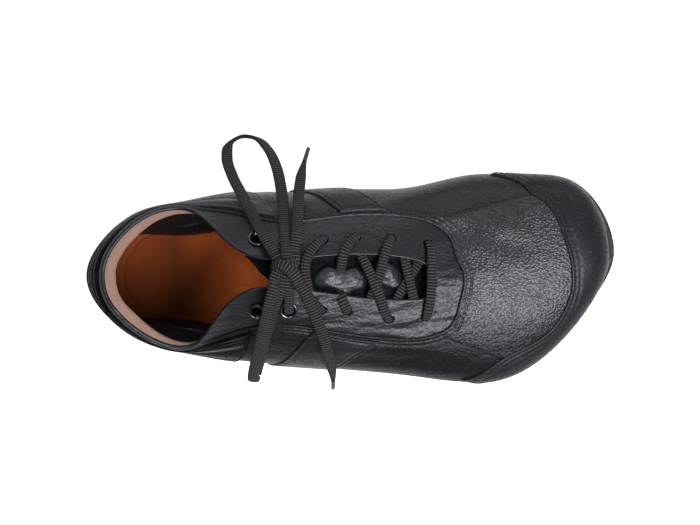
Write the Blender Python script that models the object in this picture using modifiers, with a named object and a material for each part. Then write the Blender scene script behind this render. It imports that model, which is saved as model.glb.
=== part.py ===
"""Right low-cut lace-up barefoot shoe: sole, insole, upper, tongue, overlays, eyelets and lace.

Metres. +X runs from heel to toe, +Y to the medial side and +Z up. The origin lies on the floor,
at the middle of the shoe's box.
"""

import math

import bmesh
import bpy
import numpy as np
from mathutils import Matrix, Vector

# The four sizes that the last's sections follow.
LENGTH = 0.280
BALL_WIDTH = 0.111
INSTEP_HEIGHT = 0.078
HEEL_HEIGHT = 0.062

# Sole: a thin sheet whose edge turns up into a lip round the upper.
SOLE_THICKNESS = 0.0045
LIP_WIDTH = 0.0022
LIP_HEIGHT = 0.0048
LEDGE_WIDTH = 0.0009
SOLE_EDGE_RADIUS = 0.0042
SOLE_EDGE_TURNS = (35, 65, 90)
FLAT_INSET = 0.0115
TOE_SPRING = 0.0070
HEEL_SPRING = 0.0018
SPRING_START = 0.78
HEEL_SPRING_END = 0.06

INSOLE_THICKNESS = 0.0030
INSOLE_CUP = 0.0010
INSOLE_TAPER = 0.0016
INSOLE_CLEARANCE = 0.0006

# Upper: the facing's leather, and the vamp and quarters that stand a step above it.
WALL = 0.0016
VAMP_STEP = 0.0010
RIM_BAND = 0.0016
OVERLAY_THICKNESS = 0.0012
GAP = 0.0003

TONGUE_THICKNESS = 0.0015
TONGUE_OVERLAP = 0.014
TONGUE_FRONT_OVERLAP = 0.009
TONGUE_SAG = 0.0010
TONGUE_GAP = 0.0007
TONGUE_SLIT_SAG = 0.1

# Eyelets: the two rearmost to a side have metal rings, the rest are punched.
RINGED = 2
HOLE_RADIUS = 0.0025
RING_RADIUS = 0.0045
RING_BORE = 0.0017
RING_THICKNESS = 0.0010

LACE_RADIUS = 0.0018
CORD_SPACING = 0.0108
STRAND_STACK = 0.0006
STRAND_PAST_HOLE = 0.0010
STRAND_SHARE_ON_FACING = 0.27
AGLET_RADIUS = 0.0013
KNOT_SIZE = (0.019, 0.017, 0.0076)
KNOT_ALONG = 0.383
KNOT_ACROSS = 0.028
KNOT_SECTION = 5.4

# How finely the surfaces are divided.
ROUND_POINTS = 64
HOLE_SIDES = 10
RING_STEPS = 12

# One row for each section, from the heel's back to the toe's tip. Lengths are shares of LENGTH,
# widths of BALL_WIDTH. sole: half widths of the sole. bulge: how far the upper's widest line
# stands beyond the sole's edge. Medial first, then lateral.
OUTLINE_COLUMNS = ("along", "sole_medial", "sole_lateral", "bulge_medial", "bulge_lateral")
OUTLINE = (
    (0.000, 0.000, 0.000, -0.036, -0.036),
    (0.030, 0.168, 0.174, -0.032, -0.032),
    (0.100, 0.297, 0.306, -0.016, -0.018),
    (0.190, 0.317, 0.357, 0.011, 0.003),
    (0.290, 0.324, 0.400, 0.040, 0.012),
    (0.400, 0.322, 0.437, 0.040, 0.009),
    (0.510, 0.329, 0.473, 0.034, 0.006),
    (0.620, 0.347, 0.516, 0.015, 0.004),
    (0.730, 0.400, 0.550, 0.010, 0.008),
    (0.830, 0.411, 0.500, -0.013, -0.010),
    (0.915, 0.386, 0.325, -0.022, -0.014),
    (0.975, 0.247, 0.133, -0.033, -0.026),
    (1.000, 0.040, -0.040, -0.045, -0.045),
)

# The opening's edge at each section: shares of LENGTH, BALL_WIDTH and of the edge's own height,
# which is HEEL_HEIGHT along the collar and INSTEP_HEIGHT along the throat.
OPENING_COLUMNS = ("edge_along", "edge_medial", "edge_lateral", "heel_share", "instep_share")
OPENING = (
    (0.039, 0.000, 0.000, 1.000, 0.000),
    (0.056, 0.138, -0.138, 0.990, 0.000),
    (0.120, 0.285, -0.290, 0.905, 0.000),
    (0.203, 0.312, -0.335, 0.850, 0.000),
    (0.262, 0.185, -0.165, 0.300, 0.610),
    (0.338, 0.066, -0.066, 0.000, 0.965),
    (0.455, 0.067, -0.106, 0.000, 0.898),
    (0.570, 0.056, -0.150, 0.000, 0.795),
    (0.638, 0.012, -0.150, 0.000, 0.720),
    (0.652, -0.032, -0.122, 0.000, 0.702),
    (0.656, -0.050, -0.100, 0.000, 0.698),
    (0.657, -0.063, -0.088, 0.000, 0.697),
    (0.657, -0.075, -0.075, 0.000, 0.696),
)

# How each section rises: the height of its widest line as a share of INSTEP_HEIGHT, the pull of
# its side and of its crown, the slope in degrees where it meets the opening, and the distance
# from the opening's edge to the vamp's edge as a share of BALL_WIDTH.
CROWN_COLUMNS = ("wide", "rise_medial", "rise_lateral", "run", "slope", "vamp_edge")
CROWN = (
    (0.33, 0.45, 0.45, 0.35, 76.0, 0.0),
    (0.33, 0.45, 0.45, 0.35, 76.0, 0.0),
    (0.33, 0.45, 0.45, 0.35, 77.0, 0.0),
    (0.34, 0.45, 0.45, 0.35, 72.0, 0.02),
    (0.36, 0.50, 0.50, 0.40, 50.0, 0.155),
    (0.36, 0.55, 0.52, 0.45, 26.0, 0.212),
    (0.34, 0.56, 0.50, 0.45, 24.0, 0.222),
    (0.30, 0.56, 0.46, 0.45, 23.0, 0.215),
    (0.27, 0.54, 0.42, 0.46, 22.0, 0.188),
    (0.25, 0.50, 0.42, 0.50, 20.0, 0.152),
    (0.24, 0.50, 0.46, 0.55, 18.0, 0.134),
    (0.235, 0.50, 0.48, 0.58, 17.0, 0.136),
    (0.235, 0.50, 0.50, 0.60, 16.0, 0.138),
)

# Each pair of eyelets from rear to front: distance from the heel as a share of LENGTH, and from
# the throat's edge as a share of BALL_WIDTH.
EYELET_COLUMNS = ("along_medial", "along_lateral", "setback_medial", "setback_lateral")
EYELETS = (
    (0.330, 0.326, 0.098, 0.126),
    (0.396, 0.383, 0.098, 0.131),
    (0.453, 0.444, 0.100, 0.108),
    (0.513, 0.492, 0.100, 0.092),
    (0.579, 0.568, 0.098, 0.110),
    (0.646, 0.637, 0.100, 0.102),
)
EYELET_SECTIONS = (3.0, 9.0)

# The toe cap's inner edge: section number round the shoe, and reach up from the sole as a share
# of BALL_WIDTH. Its two ends lean between these sections at the sole and at the inner edge.
TOE_CAP = (
    (7.70, 0.225),
    (8.80, 0.311),
    (9.90, 0.255),
    (10.70, 0.273),
    (11.50, 0.313),
    (12.40, 0.340),
    (13.60, 0.336),
    (14.40, 0.310),
    (15.00, 0.235),
    (15.65, 0.190),
)
TOE_CAP_ENDS = ((8.40, 7.75), (15.40, 15.60))

# Front edges of the rear quarters, and both edges of each side strap: section number at the sole
# and at the top, counted from the heel along each side. Each overlay is cut from a shell that
# reaches a little further round the shoe.
COUNTER_FRONT = {"lateral": (3.40, 4.42), "medial": (3.40, 4.90)}
STRAP_EDGES = {"lateral": ((4.25, 5.50), (5.20, 6.55)), "medial": ((4.50, 5.95), (5.30, 6.70))}
STRAP_LEAN = {"lateral": 1.6, "medial": 1.15}
TOE_CAP_SHELL = (7.2, 16.2)
COUNTER_SHELL = (-5.1, 4.8)
STRAP_SHELL = {"lateral": (3.9, 6.9), "medial": (-6.9, -4.2)}
COUNTER_BELOW_RIM = 0.0040
OVERLAY_BELOW_VAMP_EDGE = 0.0028
BLOCK_MARGIN = 0.0020

CORD_NAMES = ("lace_knot", "lace_loop", "lace_end", "aglet")

LAST_ROW = len(OUTLINE) - 1
LOOP_ROWS = 2 * LAST_ROW

# The tongue's strips, closer together where the throat is open, and where its front half begins.
TONGUE_FRONT_ROW = 8.0
TONGUE_ROWS = np.concatenate([np.linspace(4.8, TONGUE_FRONT_ROW, 9), np.linspace(8.6, LAST_ROW, 6)])


def column(name):
    """The table's column of that name, as an array from heel to toe."""
    for names, rows in ((OUTLINE_COLUMNS, OUTLINE), (OPENING_COLUMNS, OPENING), (CROWN_COLUMNS, CROWN)):
        if name in names:
            return np.array([row[names.index(name)] for row in rows])
    raise KeyError(name)


def loop_of(lateral, medial):
    """A closed run of values: heel, lateral side, toe and back along the medial side."""
    return np.concatenate([lateral, medial[-2:0:-1]])


class Loop:
    """A periodic cubic spline through values at whole steps round the shoe."""

    def __init__(self, values):
        self.values = np.asarray(values, float)
        count = len(self.values)
        system = 4 * np.eye(count) + np.roll(np.eye(count), 1, 0) + np.roll(np.eye(count), -1, 0)
        bend = np.roll(self.values, 1) - 2 * self.values + np.roll(self.values, -1)
        self.bends = np.linalg.solve(system, 6 * bend)

    def at(self, u):
        u = np.asarray(u, float) % len(self.values)
        low = np.floor(u).astype(int) % len(self.values)
        high = (low + 1) % len(self.values)
        part = u - np.floor(u)
        rest = 1 - part
        straight = rest * self.values[low] + part * self.values[high]
        curve = (rest**3 - rest) * self.bends[low] + (part**3 - part) * self.bends[high]
        return straight + curve / 6


def side_loop(name, sign=1.0):
    return Loop(loop_of(column(name + "_lateral"), sign * column(name + "_medial")))


def plain_loop(name):
    return Loop(loop_of(column(name), column(name)))


ALONG = plain_loop("along")
SOLE_Y = Loop(loop_of(-column("sole_lateral"), column("sole_medial")))
BULGE = side_loop("bulge")
EDGE_X = plain_loop("edge_along")
EDGE_Y = side_loop("edge")
HEEL_SHARE = plain_loop("heel_share")
INSTEP_SHARE = plain_loop("instep_share")
WIDE = plain_loop("wide")
RISE = side_loop("rise")
RUN = plain_loop("run")
SLOPE = plain_loop("slope")
VAMP_EDGE = plain_loop("vamp_edge")


def spring(x):
    """How far the sole's underside lifts off the floor at this distance from the heel."""
    toe = np.clip((x / LENGTH - SPRING_START) / (1 - SPRING_START), 0, 1)
    heel = np.clip(1 - x / LENGTH / HEEL_SPRING_END, 0, 1)
    return TOE_SPRING * toe**2 + HEEL_SPRING * heel**2


def sole_edge(u):
    """Plan points of the sole's edge and the outward directions there."""
    def place(at):
        return np.stack([LENGTH * ALONG.at(at), BALL_WIDTH * SOLE_Y.at(at)], -1)

    point = place(u)
    along = place(np.asarray(u) + 0.01) - place(np.asarray(u) - 0.01)
    along /= np.linalg.norm(along, axis=-1, keepdims=True)
    outward = np.stack([along[..., 1], -along[..., 0]], -1)
    return point, outward


def sole_point(u, inset, height):
    """A point this far inside the sole's edge and this high above its underside."""
    point, outward = sole_edge(u)
    plan = point - outward * inset
    return np.concatenate([plan, (height + spring(plan[..., 0]))[..., None]], -1)


FOOT_INSET = LIP_WIDTH + GAP + VAMP_STEP
LIP_TOP = SOLE_THICKNESS + LIP_HEIGHT
STEPS = np.linspace(0, 1, 25)
# Rings of the upper: below and above its widest line, over the facing, and down the inside.
LOWER_RINGS = np.array([0.0, 0.5])
UPPER_RINGS = np.linspace(0, 1, 6)
FACING_RINGS = (0.02, 0.5, 1.0)
INNER_RINGS = (1.0, 0.82, 0.62, 0.42, 0.22, 0.0)


def bezier(points, t):
    """Cubic curves through four control points, each an array of shape (n, 3)."""
    a, b, c, d = (point[:, None, :] for point in points)
    t = t[None, :, None]
    return (1 - t) ** 3 * a + 3 * (1 - t) ** 2 * t * b + 3 * (1 - t) * t**2 * c + t**3 * d


def ribs(u):
    """Lines from the sole up to the opening's edge, one for each u, as points (n, m, 3)."""
    u = np.atleast_1d(np.asarray(u, float))
    up = np.array([0.0, 0.0, 1.0])
    point, outward = sole_edge(u)
    foot = sole_point(u, FOOT_INSET, SOLE_THICKNESS + GAP)
    lip = foot + up * (LIP_HEIGHT + GAP)
    bulge = BALL_WIDTH * BULGE.at(u)
    wide = np.empty_like(foot)
    wide[:, :2] = point + outward * bulge[:, None]
    wide[:, 2] = INSTEP_HEIGHT * WIDE.at(u)
    edge = np.stack([
        LENGTH * EDGE_X.at(u),
        BALL_WIDTH * EDGE_Y.at(u),
        HEEL_HEIGHT * HEEL_SHARE.at(u) + INSTEP_HEIGHT * INSTEP_SHARE.at(u),
    ], -1)
    lower_pull = up * (0.4 * (wide[:, 2] - lip[:, 2]))[:, None]
    lower = bezier((lip, lip + lower_pull, wide - lower_pull, wide), STEPS)
    span = edge - wide
    reach = np.linalg.norm(span, axis=1)
    inward = span[:, :2] / np.linalg.norm(span[:, :2], axis=1, keepdims=True)
    slope = np.radians(SLOPE.at(u))
    arrival = np.concatenate([inward * np.cos(slope)[:, None], np.sin(slope)[:, None]], 1)
    side = wide + up * (RISE.at(u) * span[:, 2])[:, None]
    crown = edge - arrival * (RUN.at(u) * reach)[:, None]
    upper = bezier((wide, side, crown, edge), STEPS)
    return np.concatenate([foot[:, None, :], lower, upper[:, 1:]], 1)


def rib_lengths(u):
    return np.linalg.norm(np.diff(ribs(u), axis=1), axis=2).sum(1)


def on_ribs(u, share):
    """Points at a share of each rib's length, from 0 at the sole to 1 at the opening's edge."""
    lines = ribs(u)
    lengths = np.linalg.norm(np.diff(lines, axis=1), axis=2)
    travelled = np.concatenate([np.zeros((len(lines), 1)), np.cumsum(lengths, 1)], 1)
    found = np.empty((len(lines), 3))
    for row, (line, run) in enumerate(zip(lines, travelled)):
        for axis in range(3):
            found[row, axis] = np.interp(share[row] * run[-1], run, line[:, axis])
    return found


def skin(u, share, out=0.0):
    """Points on the upper's base surface, moved outward by out."""
    u = np.asarray(u, float)
    share = np.broadcast_to(np.asarray(share, float), u.shape)
    flat_u, flat_share = u.ravel(), share.ravel()
    step_u, step_share = 0.02, 0.01
    low = np.clip(flat_share - step_share, 0, 1)
    high = np.clip(flat_share + step_share, 0, 1)
    round_way = on_ribs(flat_u + step_u, flat_share) - on_ribs(flat_u - step_u, flat_share)
    up_way = on_ribs(flat_u, high) - on_ribs(flat_u, low)
    normal = np.cross(round_way, up_way)
    normal /= np.linalg.norm(normal, axis=1, keepdims=True)
    out = np.broadcast_to(np.asarray(out, float), u.shape).ravel()[:, None]
    return (on_ribs(flat_u, flat_share) + normal * out).reshape(u.shape + (3,))


def smooth(rows, at):
    """A smooth curve through rows of (place, value...), read at places."""
    rows = np.asarray(rows, float)
    places, values = rows[:, 0], rows[:, 1:]
    slopes = np.gradient(values, places, axis=0)
    at = np.clip(np.asarray(at, float), places[0], places[-1])
    low = np.clip(np.searchsorted(places, at, side="right") - 1, 0, len(places) - 2)
    width = places[low + 1] - places[low]
    t = ((at - places[low]) / width)[..., None]
    width = width[..., None]
    value = values[low] * (1 + 2 * t) * (1 - t) ** 2 + values[low + 1] * t**2 * (3 - 2 * t)
    return value + width * t * (1 - t) * (slopes[low] * (1 - t) - slopes[low + 1] * t)


def section(side, row):
    """The place round the shoe of a section counted from the heel along one side."""
    return row if side == "lateral" else -np.asarray(row)


def vamp_edge_distance(u):
    """How far below the opening's edge the vamp and quarters end."""
    return np.maximum(BALL_WIDTH * VAMP_EDGE.at(u), RIM_BAND)


def eyelet(side, number):
    """Place round the shoe and share of the rib of one eyelet, counted from the rear."""
    row = EYELETS[number]
    along = LENGTH * row[EYELET_COLUMNS.index("along_" + side)]
    setback = BALL_WIDTH * row[EYELET_COLUMNS.index("setback_" + side)]
    low, high = EYELET_SECTIONS
    for _ in range(24):
        middle = (low + high) / 2
        u = np.array([section(side, middle)])
        share = 1 - setback / rib_lengths(u)
        if skin(u, share)[0, 0] < along:
            low = middle
        else:
            high = middle
    return u[0], share[0]


def frame_at(u, share):
    """A matrix whose Z axis stands on the skin there."""
    base = skin(np.array([u]), share)[0]
    tip = skin(np.array([u]), share, 0.001)[0]
    turn = Vector(tip - base).to_track_quat("Z", "X").to_matrix().to_4x4()
    return Matrix.Translation(Vector(base)) @ turn


def new_object(name, bm, collection, color, roughness, metallic=0.0):
    bmesh.ops.recalc_face_normals(bm, faces=bm.faces)
    mesh = bpy.data.meshes.new(name)
    bm.to_mesh(mesh)
    bm.free()
    return mesh_object(name, mesh, collection, color, roughness, metallic)


def mesh_object(name, mesh, collection, color, roughness, metallic=0.0):
    obj = bpy.data.objects.new(name, mesh)
    collection.objects.link(obj)
    mesh.shade_smooth()
    mesh.set_sharp_from_angle(angle=math.radians(50))
    mesh.materials.clear()
    mesh.materials.append(material(name, color, roughness, metallic))
    return obj


def material(name, color, roughness, metallic):
    made = bpy.data.materials.new(name)
    made.use_nodes = True
    shader = made.node_tree.nodes["Principled BSDF"]
    shader.inputs["Base Color"].default_value = (*color, 1.0)
    shader.inputs["Roughness"].default_value = roughness
    shader.inputs["Metallic"].default_value = metallic
    return made


def ring(bm, points):
    return [bm.verts.new(point) for point in points]


def bridge(bm, first, second):
    """Quads between two closed rings of equal length."""
    count = len(first)
    for at in range(count):
        after = (at + 1) % count
        bm.faces.new((first[at], first[after], second[after], second[at]))


def bridge_sides(bm, edge):
    """Fills a ring with strips from its lateral to its medial side."""
    half = len(edge) // 2
    bm.faces.new((edge[0], edge[1], edge[-1]))
    for at in range(1, half - 1):
        bm.faces.new((edge[at], edge[at + 1], edge[-at - 1], edge[-at]))
    bm.faces.new((edge[half - 1], edge[half], edge[half + 1]))


def plate(name, rows, collection, color, roughness):
    """A solid of rings round the shoe, given as (inset, height) from underside to top."""
    bm = bmesh.new()
    u = loop_samples()
    rings = [ring(bm, sole_point(u, inset, height)) for inset, height in rows]
    for first, second in zip(rings, rings[1:]):
        bridge(bm, first, second)
    bridge_sides(bm, rings[0])
    bridge_sides(bm, rings[-1])
    return new_object(name, bm, collection, color, roughness)


def slab(name, outer, inner, collection, color, roughness):
    """A closed sheet between two grids of points of the same shape."""
    bm = bmesh.new()
    rows, columns = outer.shape[:2]
    top = [[bm.verts.new(point) for point in line] for line in outer]
    base = [[bm.verts.new(point) for point in line] for line in inner]
    for i in range(rows - 1):
        for j in range(columns - 1):
            bm.faces.new((top[i][j], top[i + 1][j], top[i + 1][j + 1], top[i][j + 1]))
            bm.faces.new((base[i][j], base[i][j + 1], base[i + 1][j + 1], base[i + 1][j]))
    border = [(i, 0) for i in range(rows)] + [(rows - 1, j) for j in range(1, columns)]
    border += [(i, columns - 1) for i in range(rows - 2, -1, -1)] + [(0, j) for j in range(columns - 2, 0, -1)]
    for (i, j), (k, m) in zip(border, border[1:] + border[:1]):
        bm.faces.new((top[i][j], base[i][j], base[k][m], top[k][m]))
    bmesh.ops.triangulate(bm, faces=bm.faces, quad_method="FIXED")
    return new_object(name, bm, collection, color, roughness)


def clear_scene():
    for obj in list(bpy.data.objects):
        bpy.data.objects.remove(obj, do_unlink=True)
    for block in (bpy.data.meshes, bpy.data.materials, bpy.data.curves):
        for item in list(block):
            block.remove(item)


def make_outsole(collection):
    edge = SOLE_EDGE_RADIUS
    lip = LIP_TOP
    rows = [(FLAT_INSET, 0.0), (edge * 1.6, 0.0)]
    for turn in SOLE_EDGE_TURNS:
        angle = math.radians(turn)
        rows.append((edge * (1 - math.sin(angle)), edge * (1 - math.cos(angle))))
    rows += [
        (0.0, lip - 2.4 * LEDGE_WIDTH),
        (LEDGE_WIDTH, lip - 2.0 * LEDGE_WIDTH),
        (LEDGE_WIDTH, lip),
        (LIP_WIDTH, lip),
        (LIP_WIDTH, SOLE_THICKNESS),
        (FLAT_INSET, SOLE_THICKNESS),
    ]
    return plate("outsole", rows, collection, (0.02, 0.02, 0.021), 0.7)


def make_insole(collection):
    inset = FOOT_INSET + WALL + INSOLE_CLEARANCE
    base = SOLE_THICKNESS + GAP
    rows = [
        (FLAT_INSET, base),
        (inset, base),
        (inset + INSOLE_TAPER, base + INSOLE_THICKNESS + INSOLE_CUP),
        (FLAT_INSET, base + INSOLE_THICKNESS),
    ]
    return plate("insole", rows, collection, (0.30, 0.12, 0.045), 0.6)


def loop_samples(first=0.0, last=LOOP_ROWS, closed=True):
    """The places round the shoe where the upper and its overlays have their points."""
    step = LOOP_ROWS / ROUND_POINTS
    low, high = round(first / step), round(last / step)
    return step * np.arange(low, high if closed else high + 1)


def wall_shares(u):
    """Shares of each rib where the outer wall has its rings, from the lip to the vamp's edge."""
    lines = ribs(u)
    travelled = np.cumsum(np.linalg.norm(np.diff(lines, axis=1), axis=2), 1)
    total = travelled[:, -1]
    end = total - vamp_edge_distance(u)
    widest = len(STEPS) - 1
    shares = []
    for run, stop, whole in zip(travelled, end, total):
        places = np.arange(len(run))
        top = np.interp(stop, run, places)
        rings = np.concatenate([LOWER_RINGS * widest, widest + (top - widest) * UPPER_RINGS])
        shares.append(np.interp(rings, places, run) / whole)
    return np.array(shares).T


def make_upper(collection, cutters):
    u = loop_samples()
    lengths = rib_lengths(u)
    vamp_edge = vamp_edge_distance(u)
    facing = np.clip((vamp_edge - RIM_BAND) / (3 * RIM_BAND), 0, 1)
    top_out = VAMP_STEP * (1 - facing)
    split = 1 - vamp_edge / lengths
    bm = bmesh.new()
    rings = [ring(bm, skin(u, 0.0, VAMP_STEP))]
    for share in wall_shares(u):
        rings.append(ring(bm, skin(u, share, VAMP_STEP)))
    for part in FACING_RINGS:
        rings.append(ring(bm, skin(u, split + (1 - split) * part, top_out)))
    for part in INNER_RINGS:
        rings.append(ring(bm, skin(u, part, -WALL)))
    for first, second in zip(rings, rings[1:] + rings[:1]):
        bridge(bm, first, second)
    bmesh.ops.triangulate(bm, faces=bm.faces, quad_method="FIXED")
    upper = new_object("upper", bm, collection, (0.045, 0.047, 0.052), 0.5)
    cut = upper.modifiers.new("eyelet_holes", "BOOLEAN")
    cut.operation = "DIFFERENCE"
    cut.object = make_hole_cutter(cutters)
    return upper


def make_hole_cutter(cutters):
    bm = bmesh.new()
    for side in ("medial", "lateral"):
        for number in range(len(EYELETS)):
            bmesh.ops.create_cone(
                bm,
                cap_ends=True,
                segments=HOLE_SIDES,
                radius1=HOLE_RADIUS,
                radius2=HOLE_RADIUS,
                depth=8 * WALL,
                matrix=frame_at(*eyelet(side, number)),
            )
    return hide(new_object("hole_cutter", bm, cutters, (1, 0, 0), 0.5))


def hide(obj):
    obj.hide_render = True
    obj.display_type = "WIRE"
    return obj


def make_tongue(collection):
    """Strips across the throat, from under one facing to under the other."""
    lift = np.array([0.0, 0.0, 1.0])
    sheet = []
    for row in TONGUE_ROWS:
        sides = []
        for side in ("lateral", "medial"):
            u = np.array([section(side, row)])
            front = np.clip((row - TONGUE_FRONT_ROW) / (LAST_ROW - TONGUE_FRONT_ROW), 0, 1)
            overlap = TONGUE_OVERLAP + (TONGUE_FRONT_OVERLAP - TONGUE_OVERLAP) * front
            share = 1 - overlap * np.array([1.0, 0.66, 0.33, 0.0]) / rib_lengths(u)
            sides.append(skin(np.repeat(u, 4), share, -WALL - TONGUE_GAP))
        lateral, medial = sides[0], sides[1][::-1]
        slit = medial[0] - lateral[-1]
        sag = lift * min(TONGUE_SAG, TONGUE_SLIT_SAG * np.linalg.norm(slit))
        middle = [
            lateral[-1] + slit * part - sag * share
            for part, share in ((0.25, 0.5), (0.5, 1.0), (0.75, 0.5))
        ]
        sheet.append(np.concatenate([lateral, middle, medial]))
    sheet = np.array(sheet)
    bm = bmesh.new()
    grid = [[bm.verts.new(point) for point in line] for line in sheet]
    for first, second in zip(grid, grid[1:]):
        for at in range(len(first) - 1):
            bm.faces.new((first[at], second[at], second[at + 1], first[at + 1]))
    bmesh.ops.remove_doubles(bm, verts=bm.verts, dist=0.00002)
    tongue = new_object("tongue", bm, collection, (0.07, 0.068, 0.07), 0.55)
    solid = tongue.modifiers.new("leather", "SOLIDIFY")
    solid.thickness = TONGUE_THICKNESS
    solid.offset = -1.0 if tongue.data.polygons[0].normal.z > 0 else 1.0
    return tongue


def overlay(name, u, share, reach, places, color, roughness):
    """A sheet on the upper's outside: a shell of its surface, cut out by a block that follows it.

    u and share hold the block's outline as a grid. reach gives the shell's ends round the shoe.
    """
    collection, cutters = places
    shell_u = loop_samples(*reach, closed=False)
    shares = wall_shares(shell_u).T
    shell_grid = np.repeat(shell_u[:, None], shares.shape[1], 1)
    inner = skin(shell_grid, shares, VAMP_STEP + GAP)
    outer = skin(shell_grid, shares, VAMP_STEP + GAP + OVERLAY_THICKNESS)
    piece = slab(name, outer, inner, collection, color, roughness)
    low = skin(u, share, VAMP_STEP - BLOCK_MARGIN)
    high = skin(u, share, VAMP_STEP + OVERLAY_THICKNESS + BLOCK_MARGIN)
    cut = piece.modifiers.new("outline", "BOOLEAN")
    cut.operation = "INTERSECT"
    cut.object = hide(slab(name + "_block", high, low, cutters, color, roughness))
    return piece


def make_toe_cap(places):
    across = np.linspace(0, 1, 4)[None, :]
    along = np.linspace(0, 1, 21)[:, None]
    (start_low, start_high), (end_low, end_high) = TOE_CAP_ENDS
    start = start_low + (start_high - start_low) * across
    end = end_low + (end_high - end_low) * across
    u = start + (end - start) * along
    lengths = rib_lengths(u.ravel()).reshape(u.shape)
    low = (LIP_HEIGHT + 2 * GAP) / lengths
    high = BALL_WIDTH * smooth(TOE_CAP, u)[..., 0] / lengths
    share = low + (high - low) * across
    return overlay("toe_cap", u, share, TOE_CAP_SHELL, places, (0.05, 0.052, 0.056), 0.4)


def between_lip_and_edge(u, across):
    """Shares of the ribs from just above the sole's lip to just below the vamp's edge."""
    flat = u.ravel()
    lengths = rib_lengths(flat)
    below = np.maximum(vamp_edge_distance(flat) + OVERLAY_BELOW_VAMP_EDGE, COUNTER_BELOW_RIM)
    low = ((LIP_HEIGHT + 2 * GAP) / lengths).reshape(u.shape)
    high = (1 - below / lengths).reshape(u.shape)
    return low + (high - low) * across


def make_heel_counter(places):
    across = np.linspace(0, 1, 4)[None, :]
    along = np.linspace(0, 1, 17)[:, None]
    medial_low, medial_high = COUNTER_FRONT["medial"]
    lateral_low, lateral_high = COUNTER_FRONT["lateral"]
    start = -(medial_low + (medial_high - medial_low) * across)
    end = lateral_low + (lateral_high - lateral_low) * across
    u = start + (end - start) * along
    share = between_lip_and_edge(u, across)
    return overlay("heel_counter", u, share, COUNTER_SHELL, places, (0.04, 0.042, 0.046), 0.45)


def make_side_strap(side, places):
    across = np.linspace(0, 1, 8)[None, :]
    along = np.linspace(0, 1, 4)[:, None]
    (rear_low, rear_high), (front_low, front_high) = STRAP_EDGES[side]
    lean = across ** STRAP_LEAN[side]
    rear = rear_low + (rear_high - rear_low) * lean
    front = front_low + (front_high - front_low) * lean
    u = section(side, rear + (front - rear) * along)
    share = between_lip_and_edge(u, across)
    shell = STRAP_SHELL[side]
    return overlay("side_strap_" + side, u, share, shell, places, (0.045, 0.047, 0.051), 0.45)


def make_ring(side, number, collection):
    """A turned metal ring whose barrel stands in its hole and whose flange lies on the facing."""
    barrel = HOLE_RADIUS - GAP
    foot = -WALL - GAP
    top = GAP + RING_THICKNESS
    profile = [
        (RING_BORE, GAP),
        (HOLE_RADIUS, top),
        (RING_RADIUS - RING_THICKNESS / 2, top),
        (RING_RADIUS, GAP + RING_THICKNESS / 2),
        (RING_RADIUS, GAP),
        (barrel, GAP),
        (barrel, foot),
        (RING_BORE, foot),
    ]
    bm = bmesh.new()
    points = [bm.verts.new((radius, 0, height)) for radius, height in profile]
    for first, second in zip(points, points[1:] + points[:1]):
        bm.edges.new((first, second))
    mesh = bpy.data.meshes.new("ring")
    bm.to_mesh(mesh)
    bm.free()
    name = "eyelet_ring_" + side + "_" + str(number + 1)
    ring_object = mesh_object(name, mesh, collection, (0.03, 0.03, 0.032), 0.3, 1.0)
    screw = ring_object.modifiers.new("turn", "SCREW")
    screw.steps = RING_STEPS
    screw.render_steps = RING_STEPS
    screw.use_merge_vertices = True
    screw.merge_threshold = 0.00002
    place = frame_at(*eyelet(side, number))
    ring_object.matrix_world = place
    return ring_object


def tube(name, route, radius, collection, color=(0.05, 0.045, 0.043), roughness=0.85):
    """A round cord along a smooth curve through the route's points."""
    route = np.asarray(route, float)
    travelled = np.concatenate([[0], np.cumsum(np.linalg.norm(np.diff(route, axis=0), axis=1))])
    count = max(3, round(travelled[-1] / CORD_SPACING) + 1)
    points = smooth(np.column_stack([travelled, route]), np.linspace(0, travelled[-1], count))
    curve = bpy.data.curves.new(name, "CURVE")
    curve.dimensions = "3D"
    curve.bevel_depth = radius
    curve.bevel_resolution = 2
    curve.use_fill_caps = True
    spline = curve.splines.new("POLY")
    spline.points.add(len(points) - 1)
    for target, point in zip(spline.points, points):
        target.co = (*point, 1.0)
    curve.materials.append(material(name, color, roughness, 0.0))
    obj = bpy.data.objects.new(name, curve)
    collection.objects.link(obj)
    return obj


def crossing(start, end, raised):
    """Route of one strand over both facings, between two eyelets given as (side, number)."""
    route = []
    ends = []
    for side, number in (start, end):
        u, share = eyelet(side, number)
        lift = GAP + LACE_RADIUS + raised
        if number < RINGED:
            lift += RING_THICKNESS + GAP
        share -= STRAND_PAST_HOLE / rib_lengths([u])[0]
        ends.append((side, abs(u), share, lift))
    (side, row, share, lift), (far_side, far_row, far_share, far_lift) = ends
    edge = STRAND_SHARE_ON_FACING
    for part in (0.0, edge / 2, edge):
        at = np.array([section(side, row + (far_row - row) * part)])
        route.append(skin(at, share + (1 - share) * part / edge, lift)[0])
    for part in (edge, edge / 2, 0.0):
        at = np.array([section(far_side, far_row + (row - far_row) * part)])
        route.append(skin(at, far_share + (1 - far_share) * part / edge, far_lift)[0])
    return route


def make_crossings(collection, cutters):
    front = len(EYELETS) - 1
    strands = [crossing(("medial", front), ("lateral", front), 0.0)]
    for number in range(front, 1, -1):
        strands.append(crossing(("medial", number), ("lateral", number - 1), STRAND_STACK))
        strands.append(crossing(("lateral", number), ("medial", number - 1), 2 * STRAND_STACK))
    strands.append(crossing(("medial", 1), ("lateral", 1), 0.0))
    pieces = []
    for at, strand in enumerate(strands):
        name = "lace_crossings" if at == 0 else "strand_" + str(at)
        home = collection if at == 0 else cutters
        pieces.append(as_mesh(tube(name, strand, LACE_RADIUS, home), home))
    for piece in pieces[1:]:
        join = pieces[0].modifiers.new("join", "BOOLEAN")
        join.operation = "UNION"
        join.object = hide(piece)
    return pieces[0]


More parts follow.
